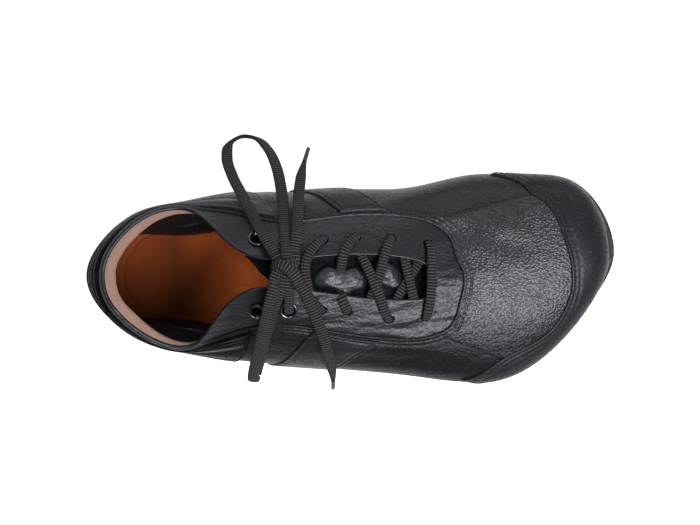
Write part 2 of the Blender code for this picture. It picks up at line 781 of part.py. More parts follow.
def as_mesh(curve_object, collection):
    """The curve's mesh with its caps welded, in a new object at the same place."""
    bpy.context.view_layer.update()
    evaluated = curve_object.evaluated_get(bpy.context.evaluated_depsgraph_get())
    mesh = bpy.data.meshes.new_from_object(evaluated)
    name, place = curve_object.name, curve_object.matrix_world.copy()
    bpy.data.objects.remove(curve_object, do_unlink=True)
    bm = bmesh.new()
    bm.from_mesh(mesh)
    bmesh.ops.remove_doubles(bm, verts=bm.verts, dist=0.00001)
    bmesh.ops.recalc_face_normals(bm, faces=bm.faces)
    bm.to_mesh(mesh)
    bm.free()
    obj = bpy.data.objects.new(name, mesh)
    collection.objects.link(obj)
    obj.matrix_world = place
    return obj


# Routes of the free lace, by hand: from the knot over the shoe's sides.
LOOP_MEDIAL = (
    (0.1014, 0.0096, 0.0821),
    (0.0955, 0.0200, 0.0745),
    (0.0895, 0.0318, 0.0612),
    (0.0845, 0.0418, 0.0508),
    (0.0800, 0.0512, 0.0410),
    (0.0775, 0.0607, 0.0325),
    (0.0790, 0.0678, 0.0265),
    (0.0855, 0.0713, 0.0240),
    (0.0935, 0.0698, 0.0265),
    (0.0995, 0.0636, 0.0330),
    (0.1035, 0.0542, 0.0415),
    (0.1055, 0.0436, 0.0510),
    (0.1065, 0.0320, 0.0632),
    (0.1070, 0.0200, 0.0755),
    (0.1074, 0.0107, 0.0822),
)
LOOP_LATERAL = (
    (0.1013, -0.0041, 0.0839),
    (0.0975, -0.0120, 0.0820),
    (0.0940, -0.0220, 0.0740),
    (0.0910, -0.0330, 0.0635),
    (0.0885, -0.0430, 0.0530),
    (0.0865, -0.0510, 0.0425),
    (0.0855, -0.0560, 0.0330),
    (0.0890, -0.0585, 0.0270),
    (0.0935, -0.0560, 0.0330),
    (0.0955, -0.0510, 0.0440),
    (0.0970, -0.0430, 0.0550),
    (0.0990, -0.0330, 0.0655),
    (0.1015, -0.0220, 0.0750),
    (0.1040, -0.0120, 0.0818),
    (0.1056, -0.0059, 0.0839),
)
END_MEDIAL = (
    (0.1112, 0.0097, 0.0815),
    (0.1130, 0.0200, 0.0770),
    (0.1140, 0.0310, 0.0680),
    (0.1150, 0.0420, 0.0570),
    (0.1165, 0.0510, 0.0465),
    (0.1180, 0.0565, 0.0380),
)
AGLET_MEDIAL = (
    (0.1181, 0.0567, 0.0377),
    (0.1195, 0.0610, 0.0300),
    (0.1205, 0.0640, 0.0240),
)
END_LATERAL = (
    (0.1120, -0.0037, 0.0820),
    (0.1165, -0.0120, 0.0790),
    (0.1205, -0.0220, 0.0745),
    (0.1242, -0.0325, 0.0682),
    (0.1268, -0.0430, 0.0600),
    (0.1283, -0.0520, 0.0500),
    (0.1288, -0.0580, 0.0395),
)
AGLET_LATERAL = (
    (0.1288, -0.0582, 0.0391),
    (0.1287, -0.0612, 0.0315),
    (0.1285, -0.0632, 0.0245),
)


def make_knot(collection):
    bm = bmesh.new()
    size = Matrix.Diagonal((*KNOT_SIZE, 1.0))
    bmesh.ops.create_uvsphere(bm, u_segments=14, v_segments=8, radius=0.5, matrix=size)
    knot = new_object("lace_knot", bm, collection, (0.05, 0.045, 0.043), 0.85)
    edge = skin(np.array([section("medial", KNOT_SECTION)]), 1.0)[0]
    top_strand = 2 * LACE_RADIUS + STRAND_STACK + RING_THICKNESS + 2 * GAP
    rest = edge[2] + top_strand + GAP + KNOT_SIZE[2] / 2
    knot.location = (LENGTH * KNOT_ALONG, BALL_WIDTH * KNOT_ACROSS, rest)
    return knot


def make_cords(collection):
    """The lace's free parts, which lie on the shoe and hold nothing."""
    make_knot(collection)
    tube("lace_loop_medial", LOOP_MEDIAL, LACE_RADIUS, collection)
    tube("lace_loop_lateral", LOOP_LATERAL, LACE_RADIUS, collection)
    tube("lace_end_medial", END_MEDIAL, LACE_RADIUS, collection)
    tube("lace_end_lateral", END_LATERAL, LACE_RADIUS, collection)
    tube("aglet_medial", AGLET_MEDIAL, AGLET_RADIUS, collection, (0.02, 0.02, 0.02), 0.3)
    tube("aglet_lateral", AGLET_LATERAL, AGLET_RADIUS, collection, (0.02, 0.02, 0.02), 0.3)


def put_origin_under(shoe, cutters):
    """Moves everything so that the origin lies on the floor, under the middle of the shoe's box."""
    bpy.context.view_layer.update()
    graph = bpy.context.evaluated_depsgraph_get()
    corners = []
    for obj in shoe.objects:
        if not obj.name.startswith(CORD_NAMES):
            solid = obj.evaluated_get(graph)
            corners += [solid.matrix_world @ Vector(corner) for corner in solid.bound_box]
    corners = np.array(corners)
    middle = (corners.min(0) + corners.max(0)) / 2
    for obj in list(shoe.objects) + list(cutters.objects):
        obj.location -= Vector((middle[0], middle[1], 0.0))


def main():
    clear_scene()
    shoe = bpy.data.collections.new("barefoot_shoe")
    cutters = bpy.data.collections.new("cutters")
    bpy.context.scene.collection.children.link(shoe)
    bpy.context.scene.collection.children.link(cutters)
    make_outsole(shoe)
    make_insole(shoe)
    make_upper(shoe, cutters)
    make_tongue(shoe)
    make_toe_cap((shoe, cutters))
    make_heel_counter((shoe, cutters))
    for side in ("medial", "lateral"):
        make_side_strap(side, (shoe, cutters))
        for number in range(RINGED):
            make_ring(side, number, shoe)
    make_crossings(shoe, cutters)
    make_cords(shoe)
    put_origin_under(shoe, cutters)


main()
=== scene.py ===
import math

import bmesh
import bpy
import numpy as np
from mathutils import Matrix, Vector
from mathutils.kdtree import KDTree


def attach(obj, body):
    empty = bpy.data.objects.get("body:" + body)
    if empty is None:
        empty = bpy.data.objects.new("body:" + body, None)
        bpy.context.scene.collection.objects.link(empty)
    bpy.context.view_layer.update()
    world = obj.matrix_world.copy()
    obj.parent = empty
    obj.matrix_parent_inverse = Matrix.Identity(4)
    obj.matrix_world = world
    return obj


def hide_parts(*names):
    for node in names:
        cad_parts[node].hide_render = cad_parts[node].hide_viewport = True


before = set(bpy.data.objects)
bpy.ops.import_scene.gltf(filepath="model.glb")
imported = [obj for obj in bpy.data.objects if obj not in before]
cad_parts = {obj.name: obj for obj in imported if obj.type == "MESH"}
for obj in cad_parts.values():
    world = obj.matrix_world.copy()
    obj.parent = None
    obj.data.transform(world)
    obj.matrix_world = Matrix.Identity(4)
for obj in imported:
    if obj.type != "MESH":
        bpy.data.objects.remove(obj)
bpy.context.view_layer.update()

# The shoe's own sizes, in metres, as in the CAD source. Its tables start at the heel's back, so
# start moves them to the frame's origin.
shoe = {
    "length": 0.280,
    "ballWidth": 0.111,
    "instepHeight": 0.078,
    "heelHeight": 0.062,
    "soleThickness": 0.0045,
    "lipWidth": 0.0022,
    "lipHeight": 0.0048,
    "ledge": 0.0009,
    "soleEdge": 0.0042,
    "toeSpring": 0.0070,
    "heelSpring": 0.0018,
    "springStart": 0.78,
    "heelSpringEnd": 0.06,
    "wall": 0.0016,
    "vampStep": 0.0010,
    "overlay": 0.0012,
    "gap": 0.0003,
    "rimBand": 0.0016,
    "holeRadius": 0.0025,
    "start": (-0.140, 0.0081, 0.0),
}
start = np.array(shoe["start"])


def clamp(values):
    return np.clip(values, 0, 1)


def direction(vectors):
    return vectors / np.linalg.norm(vectors, axis=-1, keepdims=True)


def travel(points):
    return np.concatenate([[0], np.cumsum(np.linalg.norm(np.diff(points, axis=0), axis=1))])


# Plan places in millimetres from the heel's back and from the shoe's axis.
def planOf(points):
    return (points[:, :2] - start[:2]) * 1000


sectionNames = (
    "along", "soleMedial", "soleLateral", "bulgeMedial", "bulgeLateral",
    "edgeAlong", "edgeMedial", "edgeLateral", "heelShare", "instepShare",
    "wide", "riseMedial", "riseLateral", "run", "slope", "vampEdge",
)
# One row for each section, from the heel to the toe.
sectionRows = (
    (0, 0, 0, -0.036, -0.036, 0.039, 0, 0, 1, 0, 0.33, 0.45, 0.45, 0.35, 76, 0),
    (0.03, 0.168, 0.174, -0.032, -0.032, 0.056, 0.138, -0.138, 0.99, 0, 0.33, 0.45, 0.45, 0.35, 76, 0),
    (0.1, 0.297, 0.306, -0.016, -0.018, 0.12, 0.285, -0.29, 0.905, 0, 0.33, 0.45, 0.45, 0.35, 77, 0),
    (0.19, 0.317, 0.357, 0.011, 0.003, 0.203, 0.312, -0.335, 0.85, 0, 0.34, 0.45, 0.45, 0.35, 72, 0.02),
    (0.29, 0.324, 0.4, 0.04, 0.012, 0.262, 0.185, -0.165, 0.3, 0.61, 0.36, 0.5, 0.5, 0.4, 50, 0.155),
    (0.4, 0.322, 0.437, 0.04, 0.009, 0.338, 0.066, -0.066, 0, 0.965, 0.36, 0.55, 0.52, 0.45, 26, 0.212),
    (0.51, 0.329, 0.473, 0.034, 0.006, 0.455, 0.067, -0.106, 0, 0.898, 0.34, 0.56, 0.5, 0.45, 24, 0.222),
    (0.62, 0.347, 0.516, 0.015, 0.004, 0.57, 0.056, -0.15, 0, 0.795, 0.3, 0.56, 0.46, 0.45, 23, 0.215),
    (0.73, 0.4, 0.55, 0.01, 0.008, 0.638, 0.012, -0.15, 0, 0.72, 0.27, 0.54, 0.42, 0.46, 22, 0.188),
    (0.83, 0.411, 0.5, -0.013, -0.01, 0.652, -0.032, -0.122, 0, 0.702, 0.25, 0.5, 0.42, 0.5, 20, 0.152),
    (0.915, 0.386, 0.325, -0.022, -0.014, 0.656, -0.05, -0.1, 0, 0.698, 0.24, 0.5, 0.46, 0.55, 18, 0.134),
    (0.975, 0.247, 0.133, -0.033, -0.026, 0.657, -0.063, -0.088, 0, 0.697, 0.235, 0.5, 0.48, 0.58, 17, 0.136),
    (1, 0.04, -0.04, -0.045, -0.045, 0.657, -0.075, -0.075, 0, 0.696, 0.235, 0.5, 0.5, 0.6, 16, 0.138),
)
lastRow = len(sectionRows) - 1
loopRows = 2 * lastRow


def column(name):
    at = sectionNames.index(name)
    return np.array([row[at] for row in sectionRows], float)


# A periodic cubic spline through values at whole steps: heel, lateral side, toe, medial side.
def loopCurve(lateral, medial):
    values = np.concatenate([lateral, medial[-2:0:-1]])
    count = len(values)
    system = 4 * np.eye(count) + np.roll(np.eye(count), 1, 0) + np.roll(np.eye(count), -1, 0)
    bends = np.linalg.solve(system, 6 * (np.roll(values, 1) - 2 * values + np.roll(values, -1)))

    def at(u):
        u = np.asarray(u, float) % count
        low = np.floor(u).astype(int) % count
        high = (low + 1) % count
        part = u - np.floor(u)
        rest = 1 - part
        curve = (rest**3 - rest) * bends[low] + (part**3 - part) * bends[high]
        return rest * values[low] + part * values[high] + curve / 6

    return at


curves = {name: loopCurve(column(name), column(name)) for name in (
    "along", "edgeAlong", "heelShare", "instepShare", "wide", "run", "slope", "vampEdge")}
curves["soleAcross"] = loopCurve(-column("soleLateral"), column("soleMedial"))
for pairName in ("bulge", "edge", "rise"):
    curves[pairName] = loopCurve(column(pairName + "Lateral"), column(pairName + "Medial"))


def spring(x):
    part = x / shoe["length"]
    toe = clamp((part - shoe["springStart"]) / (1 - shoe["springStart"]))
    heel = clamp(1 - part / shoe["heelSpringEnd"])
    return shoe["toeSpring"] * toe**2 + shoe["heelSpring"] * heel**2


# The sole's plan outline, and the way out from it.
def soleEdge(u):
    def place(at):
        return np.stack([
            shoe["length"] * curves["along"](at), shoe["ballWidth"] * curves["soleAcross"](at)], -1)

    step = 0.01
    along = direction(place(np.asarray(u) + step) - place(np.asarray(u) - step))
    return place(u), np.stack([along[..., 1], -along[..., 0]], -1)


def lifted(plan, height):
    return np.concatenate([plan, (height + spring(plan[..., 0]))[..., None]], -1)


def bezier(points, t):
    a, b, c, d = (point[:, None, :] for point in points)
    t = t[None, :, None]
    return (1 - t) ** 3 * a + 3 * (1 - t) ** 2 * t * b + 3 * (1 - t) * t**2 * c + t**3 * d


# The upper's surface as a fine table: place round the shoe by share of the way up its ribs.
tableRound = 1200
tableUp = 161
ribSteps = 49
lowerPull = 0.4


def ribs(u):
    up = np.array([0.0, 0.0, 1.0])
    steps = np.linspace(0, 1, ribSteps)
    point, outward = soleEdge(u)
    inset = np.full(len(u), shoe["lipWidth"] + shoe["gap"] + shoe["vampStep"])
    foot = lifted(point - outward * inset[:, None], shoe["soleThickness"] + shoe["gap"])
    lip = foot + up * (shoe["lipHeight"] + shoe["gap"])
    wide = np.empty_like(foot)
    wide[:, :2] = point + outward * (shoe["ballWidth"] * curves["bulge"](u))[:, None]
    wide[:, 2] = shoe["instepHeight"] * curves["wide"](u)
    edge = np.stack([
        shoe["length"] * curves["edgeAlong"](u),
        shoe["ballWidth"] * curves["edge"](u),
        shoe["heelHeight"] * curves["heelShare"](u) + shoe["instepHeight"] * curves["instepShare"](u),
    ], -1)
    pull = up * (lowerPull * (wide[:, 2] - lip[:, 2]))[:, None]
    lower = bezier((lip, lip + pull, wide - pull, wide), steps)
    span = edge - wide
    slope = np.radians(curves["slope"](u))[:, None]
    arrival = np.concatenate([direction(span[:, :2]) * np.cos(slope), np.sin(slope)], 1)
    side = wide + up * (curves["rise"](u) * span[:, 2])[:, None]
    crown = edge - arrival * (curves["run"](u) * np.linalg.norm(span, axis=1))[:, None]
    upper = bezier((wide, side, crown, edge), steps)
    return np.concatenate([foot[:, None, :], lower, upper[:, 1:]], 1)


def makeTable():
    u = np.arange(tableRound) * loopRows / tableRound
    lines = ribs(u)
    steps = np.linalg.norm(np.diff(lines, axis=1), axis=2)
    travelled = np.concatenate([np.zeros((tableRound, 1)), np.cumsum(steps, 1)], 1)
    lengths = travelled[:, -1]
    shares = np.linspace(0, 1, tableUp)
    points = np.empty((tableRound, tableUp, 3))
    for row in range(tableRound):
        for axis in range(3):
            points[row, :, axis] = np.interp(
                shares * lengths[row], travelled[row], lines[row, :, axis])
    points += start
    roundWay = np.roll(points, -3, 0) - np.roll(points, 3, 0)
    upWay = np.gradient(points, axis=1)
    return points, direction(np.cross(roundWay, upWay)), lengths


skinPoints, skinNormals, skinLengths = makeTable()


def readTable(table, u, share):
    x = (np.asarray(u, float) % loopRows) * tableRound / loopRows
    y = clamp(np.asarray(share, float)) * (tableUp - 1)
    lowX = np.floor(x).astype(int) % tableRound
    highX = (lowX + 1) % tableRound
    lowY = np.clip(np.floor(y).astype(int), 0, tableUp - 2)
    partX = (x - np.floor(x))[..., None]
    partY = (y - lowY)[..., None]
    low = table[lowX, lowY] * (1 - partY) + table[lowX, lowY + 1] * partY
    high = table[highX, lowY] * (1 - partY) + table[highX, lowY + 1] * partY
    return low * (1 - partX) + high * partX


def ribLength(u):
    x = (np.asarray(u, float) % loopRows) * tableRound / loopRows
    return np.interp(x, np.arange(tableRound + 1), np.append(skinLengths, skinLengths[0]))


def skin(u, share, out=0.0):
    u, share = np.broadcast_arrays(np.asarray(u, float), np.asarray(share, float))
    out = np.broadcast_to(np.asarray(out, float), u.shape)
    return readTable(skinPoints, u, share) + readTable(skinNormals, u, share) * out[..., None]


def skinNormal(u, share):
    u, share = np.broadcast_arrays(np.asarray(u, float), np.asarray(share, float))
    return direction(readTable(skinNormals, u, share))


def vampEdge(u):
    return np.maximum(shoe["ballWidth"] * curves["vampEdge"](u), shoe["rimBand"])


# A smooth curve through rows of (place, values...), read at places.
def smooth(rows, at):
    rows = np.asarray(rows, float)
    places, values = rows[:, 0], rows[:, 1:]
    slopes = np.gradient(values, places, axis=0)
    at = np.clip(np.asarray(at, float), places[0], places[-1])
    low = np.clip(np.searchsorted(places, at, side="right") - 1, 0, len(places) - 2)
    width = places[low + 1] - places[low]
    t = ((at - places[low]) / width)[..., None]
    width = width[..., None]
    value = values[low] * (1 + 2 * t) * (1 - t) ** 2 + values[low + 1] * t**2 * (3 - 2 * t)
    return value + width * t * (1 - t) * (slopes[low] * (1 - t) - slopes[low + 1] * t)


# Coarse places on the surface, to find the normal under a lace.
treeRound, treeUp = 60, 40
skinTree = KDTree(treeRound * treeUp)
treePlaces = []
for treeRow in range(treeRound):
    for treeColumn in range(treeUp):
        treeU, treeShare = treeRow * loopRows / treeRound, (treeColumn + 1) / treeUp
        skinTree.insert(readTable(skinPoints, treeU, treeShare), len(treePlaces))
        treePlaces.append((treeU, treeShare))
skinTree.balance()


def nearestNormal(point):
    found = treePlaces[skinTree.find(point)[1]]
    return readTable(skinNormals, *found)


def smoothLine(points, count):
    points = np.asarray(points, float)
    travelled = travel(points)
    return smooth(np.column_stack([travelled, points]), np.linspace(0, travelled[-1], count))


# Height of the shoe's top over a place in millimetres from the heel and from the axis.
topPoints = skinPoints[::3, tableUp // 2::2].reshape(-1, 3)
topTree = KDTree(len(topPoints))
for topIndex, topPoint in enumerate(topPoints):
    topTree.insert((topPoint[0], topPoint[1], 0), topIndex)
topTree.balance()
topNeighbours = 10
topSoftening = 0.0015


def onTop(x, y, lift):
    plan = np.array([x, y]) / 1000 + start[:2]
    found = topTree.find_n((plan[0], plan[1], 0), topNeighbours)
    weights = np.array([1 / (distance + topSoftening) ** 2 for _, _, distance in found])
    heights = np.array([topPoints[index][2] for _, index, _ in found])
    return (plan[0], plan[1], (weights * heights).sum() / weights.sum() + lift / 1000)


print("shoe surface ready")

# Camera: the photo looks straight down from far off. The shoe's axis rises to the right.
view = {
    "imageSize": (700, 525),
    "pixelsToMillimetre": 1.88,
    "distance": 2.75,
    "off": 0.051,
    "aim": (0.0, 0.011, 0.030),
    "roll": 2.2,
    "sensor": 36.0,
    "clipEnd": 20,
}


def link(item):
    bpy.context.scene.collection.objects.link(item)
    return item



def makeCamera():
    camera = bpy.data.cameras.new("camera")
    camera.sensor_width = view["sensor"]
    shown = view["imageSize"][0] / view["pixelsToMillimetre"]
    camera.lens = view["sensor"] * view["distance"] * 1000 / shown
    camera.clip_end = view["clipEnd"]
    target = Vector(view["aim"])
    place = Vector((target.x, target.y + view["off"], view["distance"]))
    back = (place - target).normalized()
    turn = math.radians(view["roll"])
    up = Vector((math.sin(turn), math.cos(turn), 0))
    right = up.cross(back).normalized()
    up = back.cross(right)
    cameraObject = link(bpy.data.objects.new("camera", camera))
    turned = Matrix((right, up, back)).transposed().to_4x4()
    cameraObject.matrix_world = Matrix.Translation(place) @ turned
    bpy.context.scene.camera = cameraObject


makeCamera()


# Materials are built from nodes in object coordinates.
class Nodes:
    def __init__(self, name):
        self.material = bpy.data.materials.new(name)
        self.material.use_nodes = True
        self.tree = self.material.node_tree
        self.shader = self.tree.nodes["Principled BSDF"]
        self.place = self.tree.nodes.new("ShaderNodeTexCoord").outputs["Object"]

    def add(self, kind, inputs=None, **settings):
        node = self.tree.nodes.new("ShaderNode" + kind)
        for key, value in settings.items():
            setattr(node, key, value)
        for key, value in (inputs or {}).items():
            self.put(node.inputs[key], value)
        return node

    def put(self, socket, value):
        if isinstance(value, bpy.types.NodeSocket):
            self.tree.links.new(value, socket)
        else:
            socket.default_value = value

    def maths(self, operation, a, b=0.0, c=0.0):
        return self.add("Math", {0: a, 1: b, 2: c}, operation=operation).outputs[0]

    def times(self, a, b):
        return self.maths("MULTIPLY", a, b)

    def plus(self, a, b):
        return self.maths("ADD", a, b)

    def texture(self, kind, place=None, **inputs):
        return self.add(kind, {"Vector": place or self.place, **inputs}).outputs

    def noise(self, scale, detail=3.0, rough=0.5, place=None):
        return self.texture("TexNoise", place, Scale=scale, Detail=detail, Roughness=rough)["Fac"]

    def stretch(self, scale, turn=(0, 0, 0), place=None):
        return self.texture("Mapping", place, Scale=scale, Rotation=turn)["Vector"]

    def attribute(self, name):
        return self.add("Attribute", attribute_name=name).outputs["Fac"]

    def parts(self, vector=None):
        return self.add("SeparateXYZ", {0: vector or self.place}).outputs

    def ramp(self, value, low, high, fromLow=0.0, fromHigh=1.0):
        return self.add("MapRange", {0: value, 1: fromLow, 2: fromHigh, 3: low, 4: high}).outputs[0]

    def blend(self, share, low, high):
        node = self.add("Mix", {"Factor": share}, data_type="RGBA")
        self.put(node.inputs[6], low)
        self.put(node.inputs[7], high)
        return node.outputs[2]

    def bump(self, height, distance, strength=1.0, under=None):
        inputs = {"Height": height, "Distance": distance, "Strength": strength}
        if under is not None:
            inputs["Normal"] = under
        return self.add("Bump", inputs).outputs["Normal"]

    def set(self, **values):
        for key, value in values.items():
            self.put(self.shader.inputs[key.replace("_", " ")], value)
        return self.material


def rgb(color, gain=1.0):
    return (color[0] * gain, color[1] * gain, color[2] * gain, 1.0)


# Leather: domed grain cells with painted shade in the valleys between them, soft clouds and
# fine scratches. Cells are longer along the shoe. Pairs give where a fade starts and ends, and cloud,
# fine, broad and wear are the scales of noises. Places along and across the shoe are in the frame's metres.
grain = {
    "cloud": 300.0,
    "drift": 0.0006,
    "domes": (0.10, 0.75),
    "panel": (0.6, 1.0),
    "fine": 2600.0,
    "fineShare": 0.05,
    "broad": 38.0,
    "wear": 120.0,
    "foldScale": (48.0, 170.0, 170.0),
    "foldTurn": (0, 0, 0.16),
    "foldSide": (-0.004, 0.012),
    "scratchScale": (60.0, 900.0, 400.0),
    "scratchTurn": (0.3, 0.2, 0.5),
    "scratches": (0.60, 0.74),
    "shades": (0.80, 1.22),
    "valleyPaintedShade": 0.2,
    "pale": (0.085, 0.088, 0.095),
    "paleShare": 0.45,
    "line": (0.055, 0.057, 0.064),
    "roughSpread": (-0.06, 0.08),
    "valleyRough": 0.22,
    "valleyShine": 0.62,
    "lateralShine": 0.35,
    "lateralSide": (-0.036, -0.016),
    "heelShine": 0.06,
    "heelAlong": (-0.128, -0.085),
    "heelLateralShine": 0.12,
    "heelSide": (-0.01, 0.035),
    "tint": (0.93, 0.95, 1.0, 1.0),
}


# A piece with panels has a panel attribute, whose zero parts stay smooth and shine by that share
# only. A piece with lines has a line attribute that paints pale lines, as painted highlights on crests.
def leather(name, color, cell, depth, gloss, dust, shine=0.19, panels=0.0, folds=0.0, lines=False):
    made = Nodes(name)
    cloud = made.texture("TexNoise", Scale=grain["cloud"], Detail=2.0)["Color"]
    moved = made.add("VectorMath", {0: cloud, 1: (0.5, 0.5, 0.5)}, operation="SUBTRACT").outputs[0]
    moved = made.add("VectorMath", {0: moved, 3: grain["drift"]}, operation="SCALE").outputs[0]
    place = made.add("VectorMath", {0: made.place, 1: moved}, operation="ADD").outputs[0]
    place = made.stretch((1 / cell[0], 1 / cell[1], 1 / cell[1]), place=place)
    cells = made.texture("TexVoronoi", place, Scale=1.0, Randomness=1.0)["Distance"]
    domes = made.ramp(cells, 1.0, 0.0, *grain["domes"])
    panel = made.attribute("panel") if panels else 1.0
    grainy = made.ramp(panel, *grain["panel"]) if panels else 1.0
    along, across, _ = made.parts()
    fine = made.times(made.noise(grain["fine"], 2.0), grain["fineShare"])
    height = made.plus(made.times(domes, grainy), fine)
    bumped = made.bump(height, depth)
    if folds:
        foldNoise = made.noise(1.0, 2.0, 0.5, made.stretch(grain["foldScale"], grain["foldTurn"]))
        side = made.ramp(across, 1.0, 0.2, *grain["foldSide"])
        bumped = made.bump(made.times(foldNoise, side), folds, under=bumped)
    scratchPlace = made.stretch(grain["scratchScale"], grain["scratchTurn"])
    scratches = made.ramp(made.noise(1.0, 3.0, 0.7, scratchPlace), 0.0, 1.0, *grain["scratches"])
    clouds = made.ramp(made.noise(grain["broad"], 4.0, 0.6), 0.0, 1.0, 0.3, 0.7)
    shade = made.blend(clouds, *(rgb(color, gain) for gain in grain["shades"]))
    # Painted shade: the colour darkens in the grain's valleys.
    deep = made.times(made.ramp(domes, 0.75, 0.0, 0.0, 0.5), grainy)
    shade = made.blend(deep, shade, rgb(color, grain["valleyPaintedShade"]))
    share = grain["paleShare"]
    pale = [(1 - share) * dark + share * light for dark, light in zip(color, grain["pale"])]
    shade = made.blend(made.times(scratches, dust), shade, rgb(pale))
    rough = made.ramp(made.noise(grain["wear"]), *(gloss + part for part in grain["roughSpread"]))
    rough = made.plus(rough, made.times(deep, grain["valleyRough"]))
    if panels:
        shine = made.ramp(panel, shine * panels, shine)
        # Painted shade: shine is cut towards the lateral side, which darkens it as if in shade.
        shine = made.times(shine, made.ramp(across, grain["lateralShine"], 1.0, *grain["lateralSide"]))
        shine = made.times(shine, made.ramp(deep, 1.0, grain["valleyShine"]))
    if lines:
        # Painted highlight: pale lines on the crests beside the heel's pressed ribs.
        shade = made.blend(made.attribute("line"), shade, rgb(grain["line"]))
        shine = made.times(made.ramp(along, grain["heelShine"], 1.0, *grain["heelAlong"]), shine)
        shine = made.times(shine, made.ramp(across, grain["heelLateralShine"], 1.0, *grain["heelSide"]))
    return made.set(
        Base_Color=shade, Roughness=rough, Normal=bumped, Specular_IOR_Level=shine,
        Specular_Tint=grain["tint"])


colors = {
    "leather": (0.0024, 0.0024, 0.0032),
    "smoothLeather": (0.0023, 0.0026, 0.0034),
    "heelLeather": (0.00138, 0.00156, 0.00204),
    "lining": (0.082, 0.050, 0.037),
    "insole": (0.075, 0.0150, 0.0026),
    "insoleLit": (0.74, 0.17, 0.044),
    "lace": (0.0080, 0.0074, 0.0080),
    "laceRibHighlight": (0.0180, 0.0166, 0.0194),
    "rubber": (0.0030, 0.0030, 0.0036),
    "thread": (0.0095, 0.0102, 0.012),
    "metal": (0.022, 0.022, 0.026),
    "wornMetal": (0.055, 0.055, 0.062),
    "aglet": (0.004, 0.004, 0.004),
    "agletStreak": (0.010, 0.010, 0.011),
    "floor": (0.24, 0.24, 0.24),
    "floorCloud": (0.26, 0.26, 0.26),
}
# Name, colour, grain cell along and across, bump depth, gloss, dust, shine, panels and folds.
looks = {
    "vamp": leather(
        "vampLeather", colors["leather"], (0.0015, 0.0011), 0.00018, 0.34, 0.05, 0.235, 0.56, 0.0006),
    "facing": leather(
        "facingLeather", colors["smoothLeather"], (0.0016, 0.0012), 0.00008, 0.33, 0.12, 0.14,
        folds=0.0015),
    "overlay": leather(
        "overlayLeather", colors["smoothLeather"], (0.0018, 0.0015), 0.00005, 0.36, 0.35, 0.095),
    "heel": leather(
        "heelLeather", colors["heelLeather"], (0.0018, 0.0015), 0.00010, 0.40, 0.3, 0.24, lines=True),
    "tongue": leather(
        "tongueLeather", colors["smoothLeather"], (0.0012, 0.0009), 0.00007, 0.38, 0.20, 0.25,
        0.03, 0.0016),
    "sole": leather("soleRubber", colors["rubber"], (0.0028, 0.0023), 0.00045, 0.55, 0.2),
}


def liningLook():
    made = Nodes("heelLining")
    color = colors["lining"]
    nap = made.noise(3200.0, 3.0, 0.7)
    broad = made.ramp(made.noise(60.0), 0.0, 1.0, 0.3, 0.7)
    shade = made.blend(broad, rgb(color, 0.86), rgb(color, 1.12))
    shade = made.blend(made.ramp(nap, 0.0, 0.35, 0.4, 0.7), shade, rgb(color, 0.7))
    flecks = made.noise(1100.0, 2.0, 0.7)
    shade = made.blend(made.ramp(flecks, 0.0, 0.45, 0.50, 0.72), shade, rgb(color, 0.55))
    return made.set(
        Base_Color=shade, Roughness=0.9, Normal=made.bump(nap, 0.00012), Sheen_Weight=0.03,
        Specular_IOR_Level=0.1)


# The footbed's colour holds painted light and shade: lighter at its medial side and towards the
# front, darker at the heel and lateral side.
def insoleLook():
    made = Nodes("insoleLeather")
    color = colors["insole"]
    along, across, _ = made.parts()
    fine = made.noise(1700.0, 3.0, 0.6)
    lit = made.ramp(across, 0.0, 1.0, -0.028, 0.030)
    front = made.ramp(along, 0.0, 0.65, -0.092, -0.055)
    # Painted light and shade: how lit a place looks sets the mix from a dark copy to insoleLit.
    wearAndPaintedLight = made.maths("POWER", made.maths("MULTIPLY_ADD", lit, 0.30, front), 2.0)
    shade = made.blend(wearAndPaintedLight, rgb(color, 0.16), rgb(colors["insoleLit"]))
    broad = made.ramp(made.noise(28.0, 4.0, 0.6), 0.0, 0.45, 0.45, 0.75)
    shade = made.blend(broad, shade, rgb(color, 0.5))
    shade = made.blend(made.ramp(fine, 0.0, 0.3, 0.45, 0.75), shade, rgb(color, 0.4))
    return made.set(
        Base_Color=shade, Roughness=0.55, Normal=made.bump(fine, 0.00008), Specular_IOR_Level=0.01)


# Lace: woven ribs across its length, read from the strip's own coordinates in metres.
weave = {"rib": 0.00155, "yarn": 0.0008, "round": 0.012, "bump": 0.0006}


def laceLook():
    made = Nodes("laceWeave")
    color = colors["lace"]
    along, across, _ = made.parts(made.add("UVMap", uv_map="grid").outputs["UV"])

    def wave(kind, value, pitch):
        return made.maths(kind, made.times(value, 2 * math.pi / pitch))

    rib = wave("SINE", along, weave["rib"])
    yarn = wave("SINE", across, weave["yarn"])
    fuzz = made.noise(2400.0, 3.0, 0.7)
    # Painted highlight and shade: the ribs' crests are painted light and their troughs nearly black.
    shade = made.blend(made.ramp(rib, 0.0, 1.0, -0.5, 0.7), rgb(color, 0.04), rgb(colors["laceRibHighlight"]))
    # Painted shade: the strip darkens towards its rounded edges.
    rim = made.maths("POWER", made.maths("ABSOLUTE", wave("COSINE", across, weave["round"])), 8.0)
    shade = made.blend(made.times(rim, 0.75), shade, rgb(color, 0.15))
    shade = made.blend(made.ramp(fuzz, 0.0, 0.6, 0.45, 0.7), shade, rgb(color, 0.6))
    height = made.plus(made.plus(made.times(rib, 0.5), made.times(yarn, 0.16)), made.times(fuzz, 0.5))
    return made.set(
        Base_Color=shade, Roughness=0.8, Normal=made.bump(height, weave["bump"]), Specular_IOR_Level=0.10)


def metalLook():
    made = Nodes("darkMetal")
    wear = made.noise(700.0)
    wearAndPaintedLight = made.ramp(wear, 0.0, 1.0, 0.4, 0.7)
    shade = made.blend(wearAndPaintedLight, rgb(colors["metal"]), rgb(colors["wornMetal"]))
    return made.set(Base_Color=shade, Metallic=1.0, Roughness=made.ramp(wear, 0.12, 0.26))


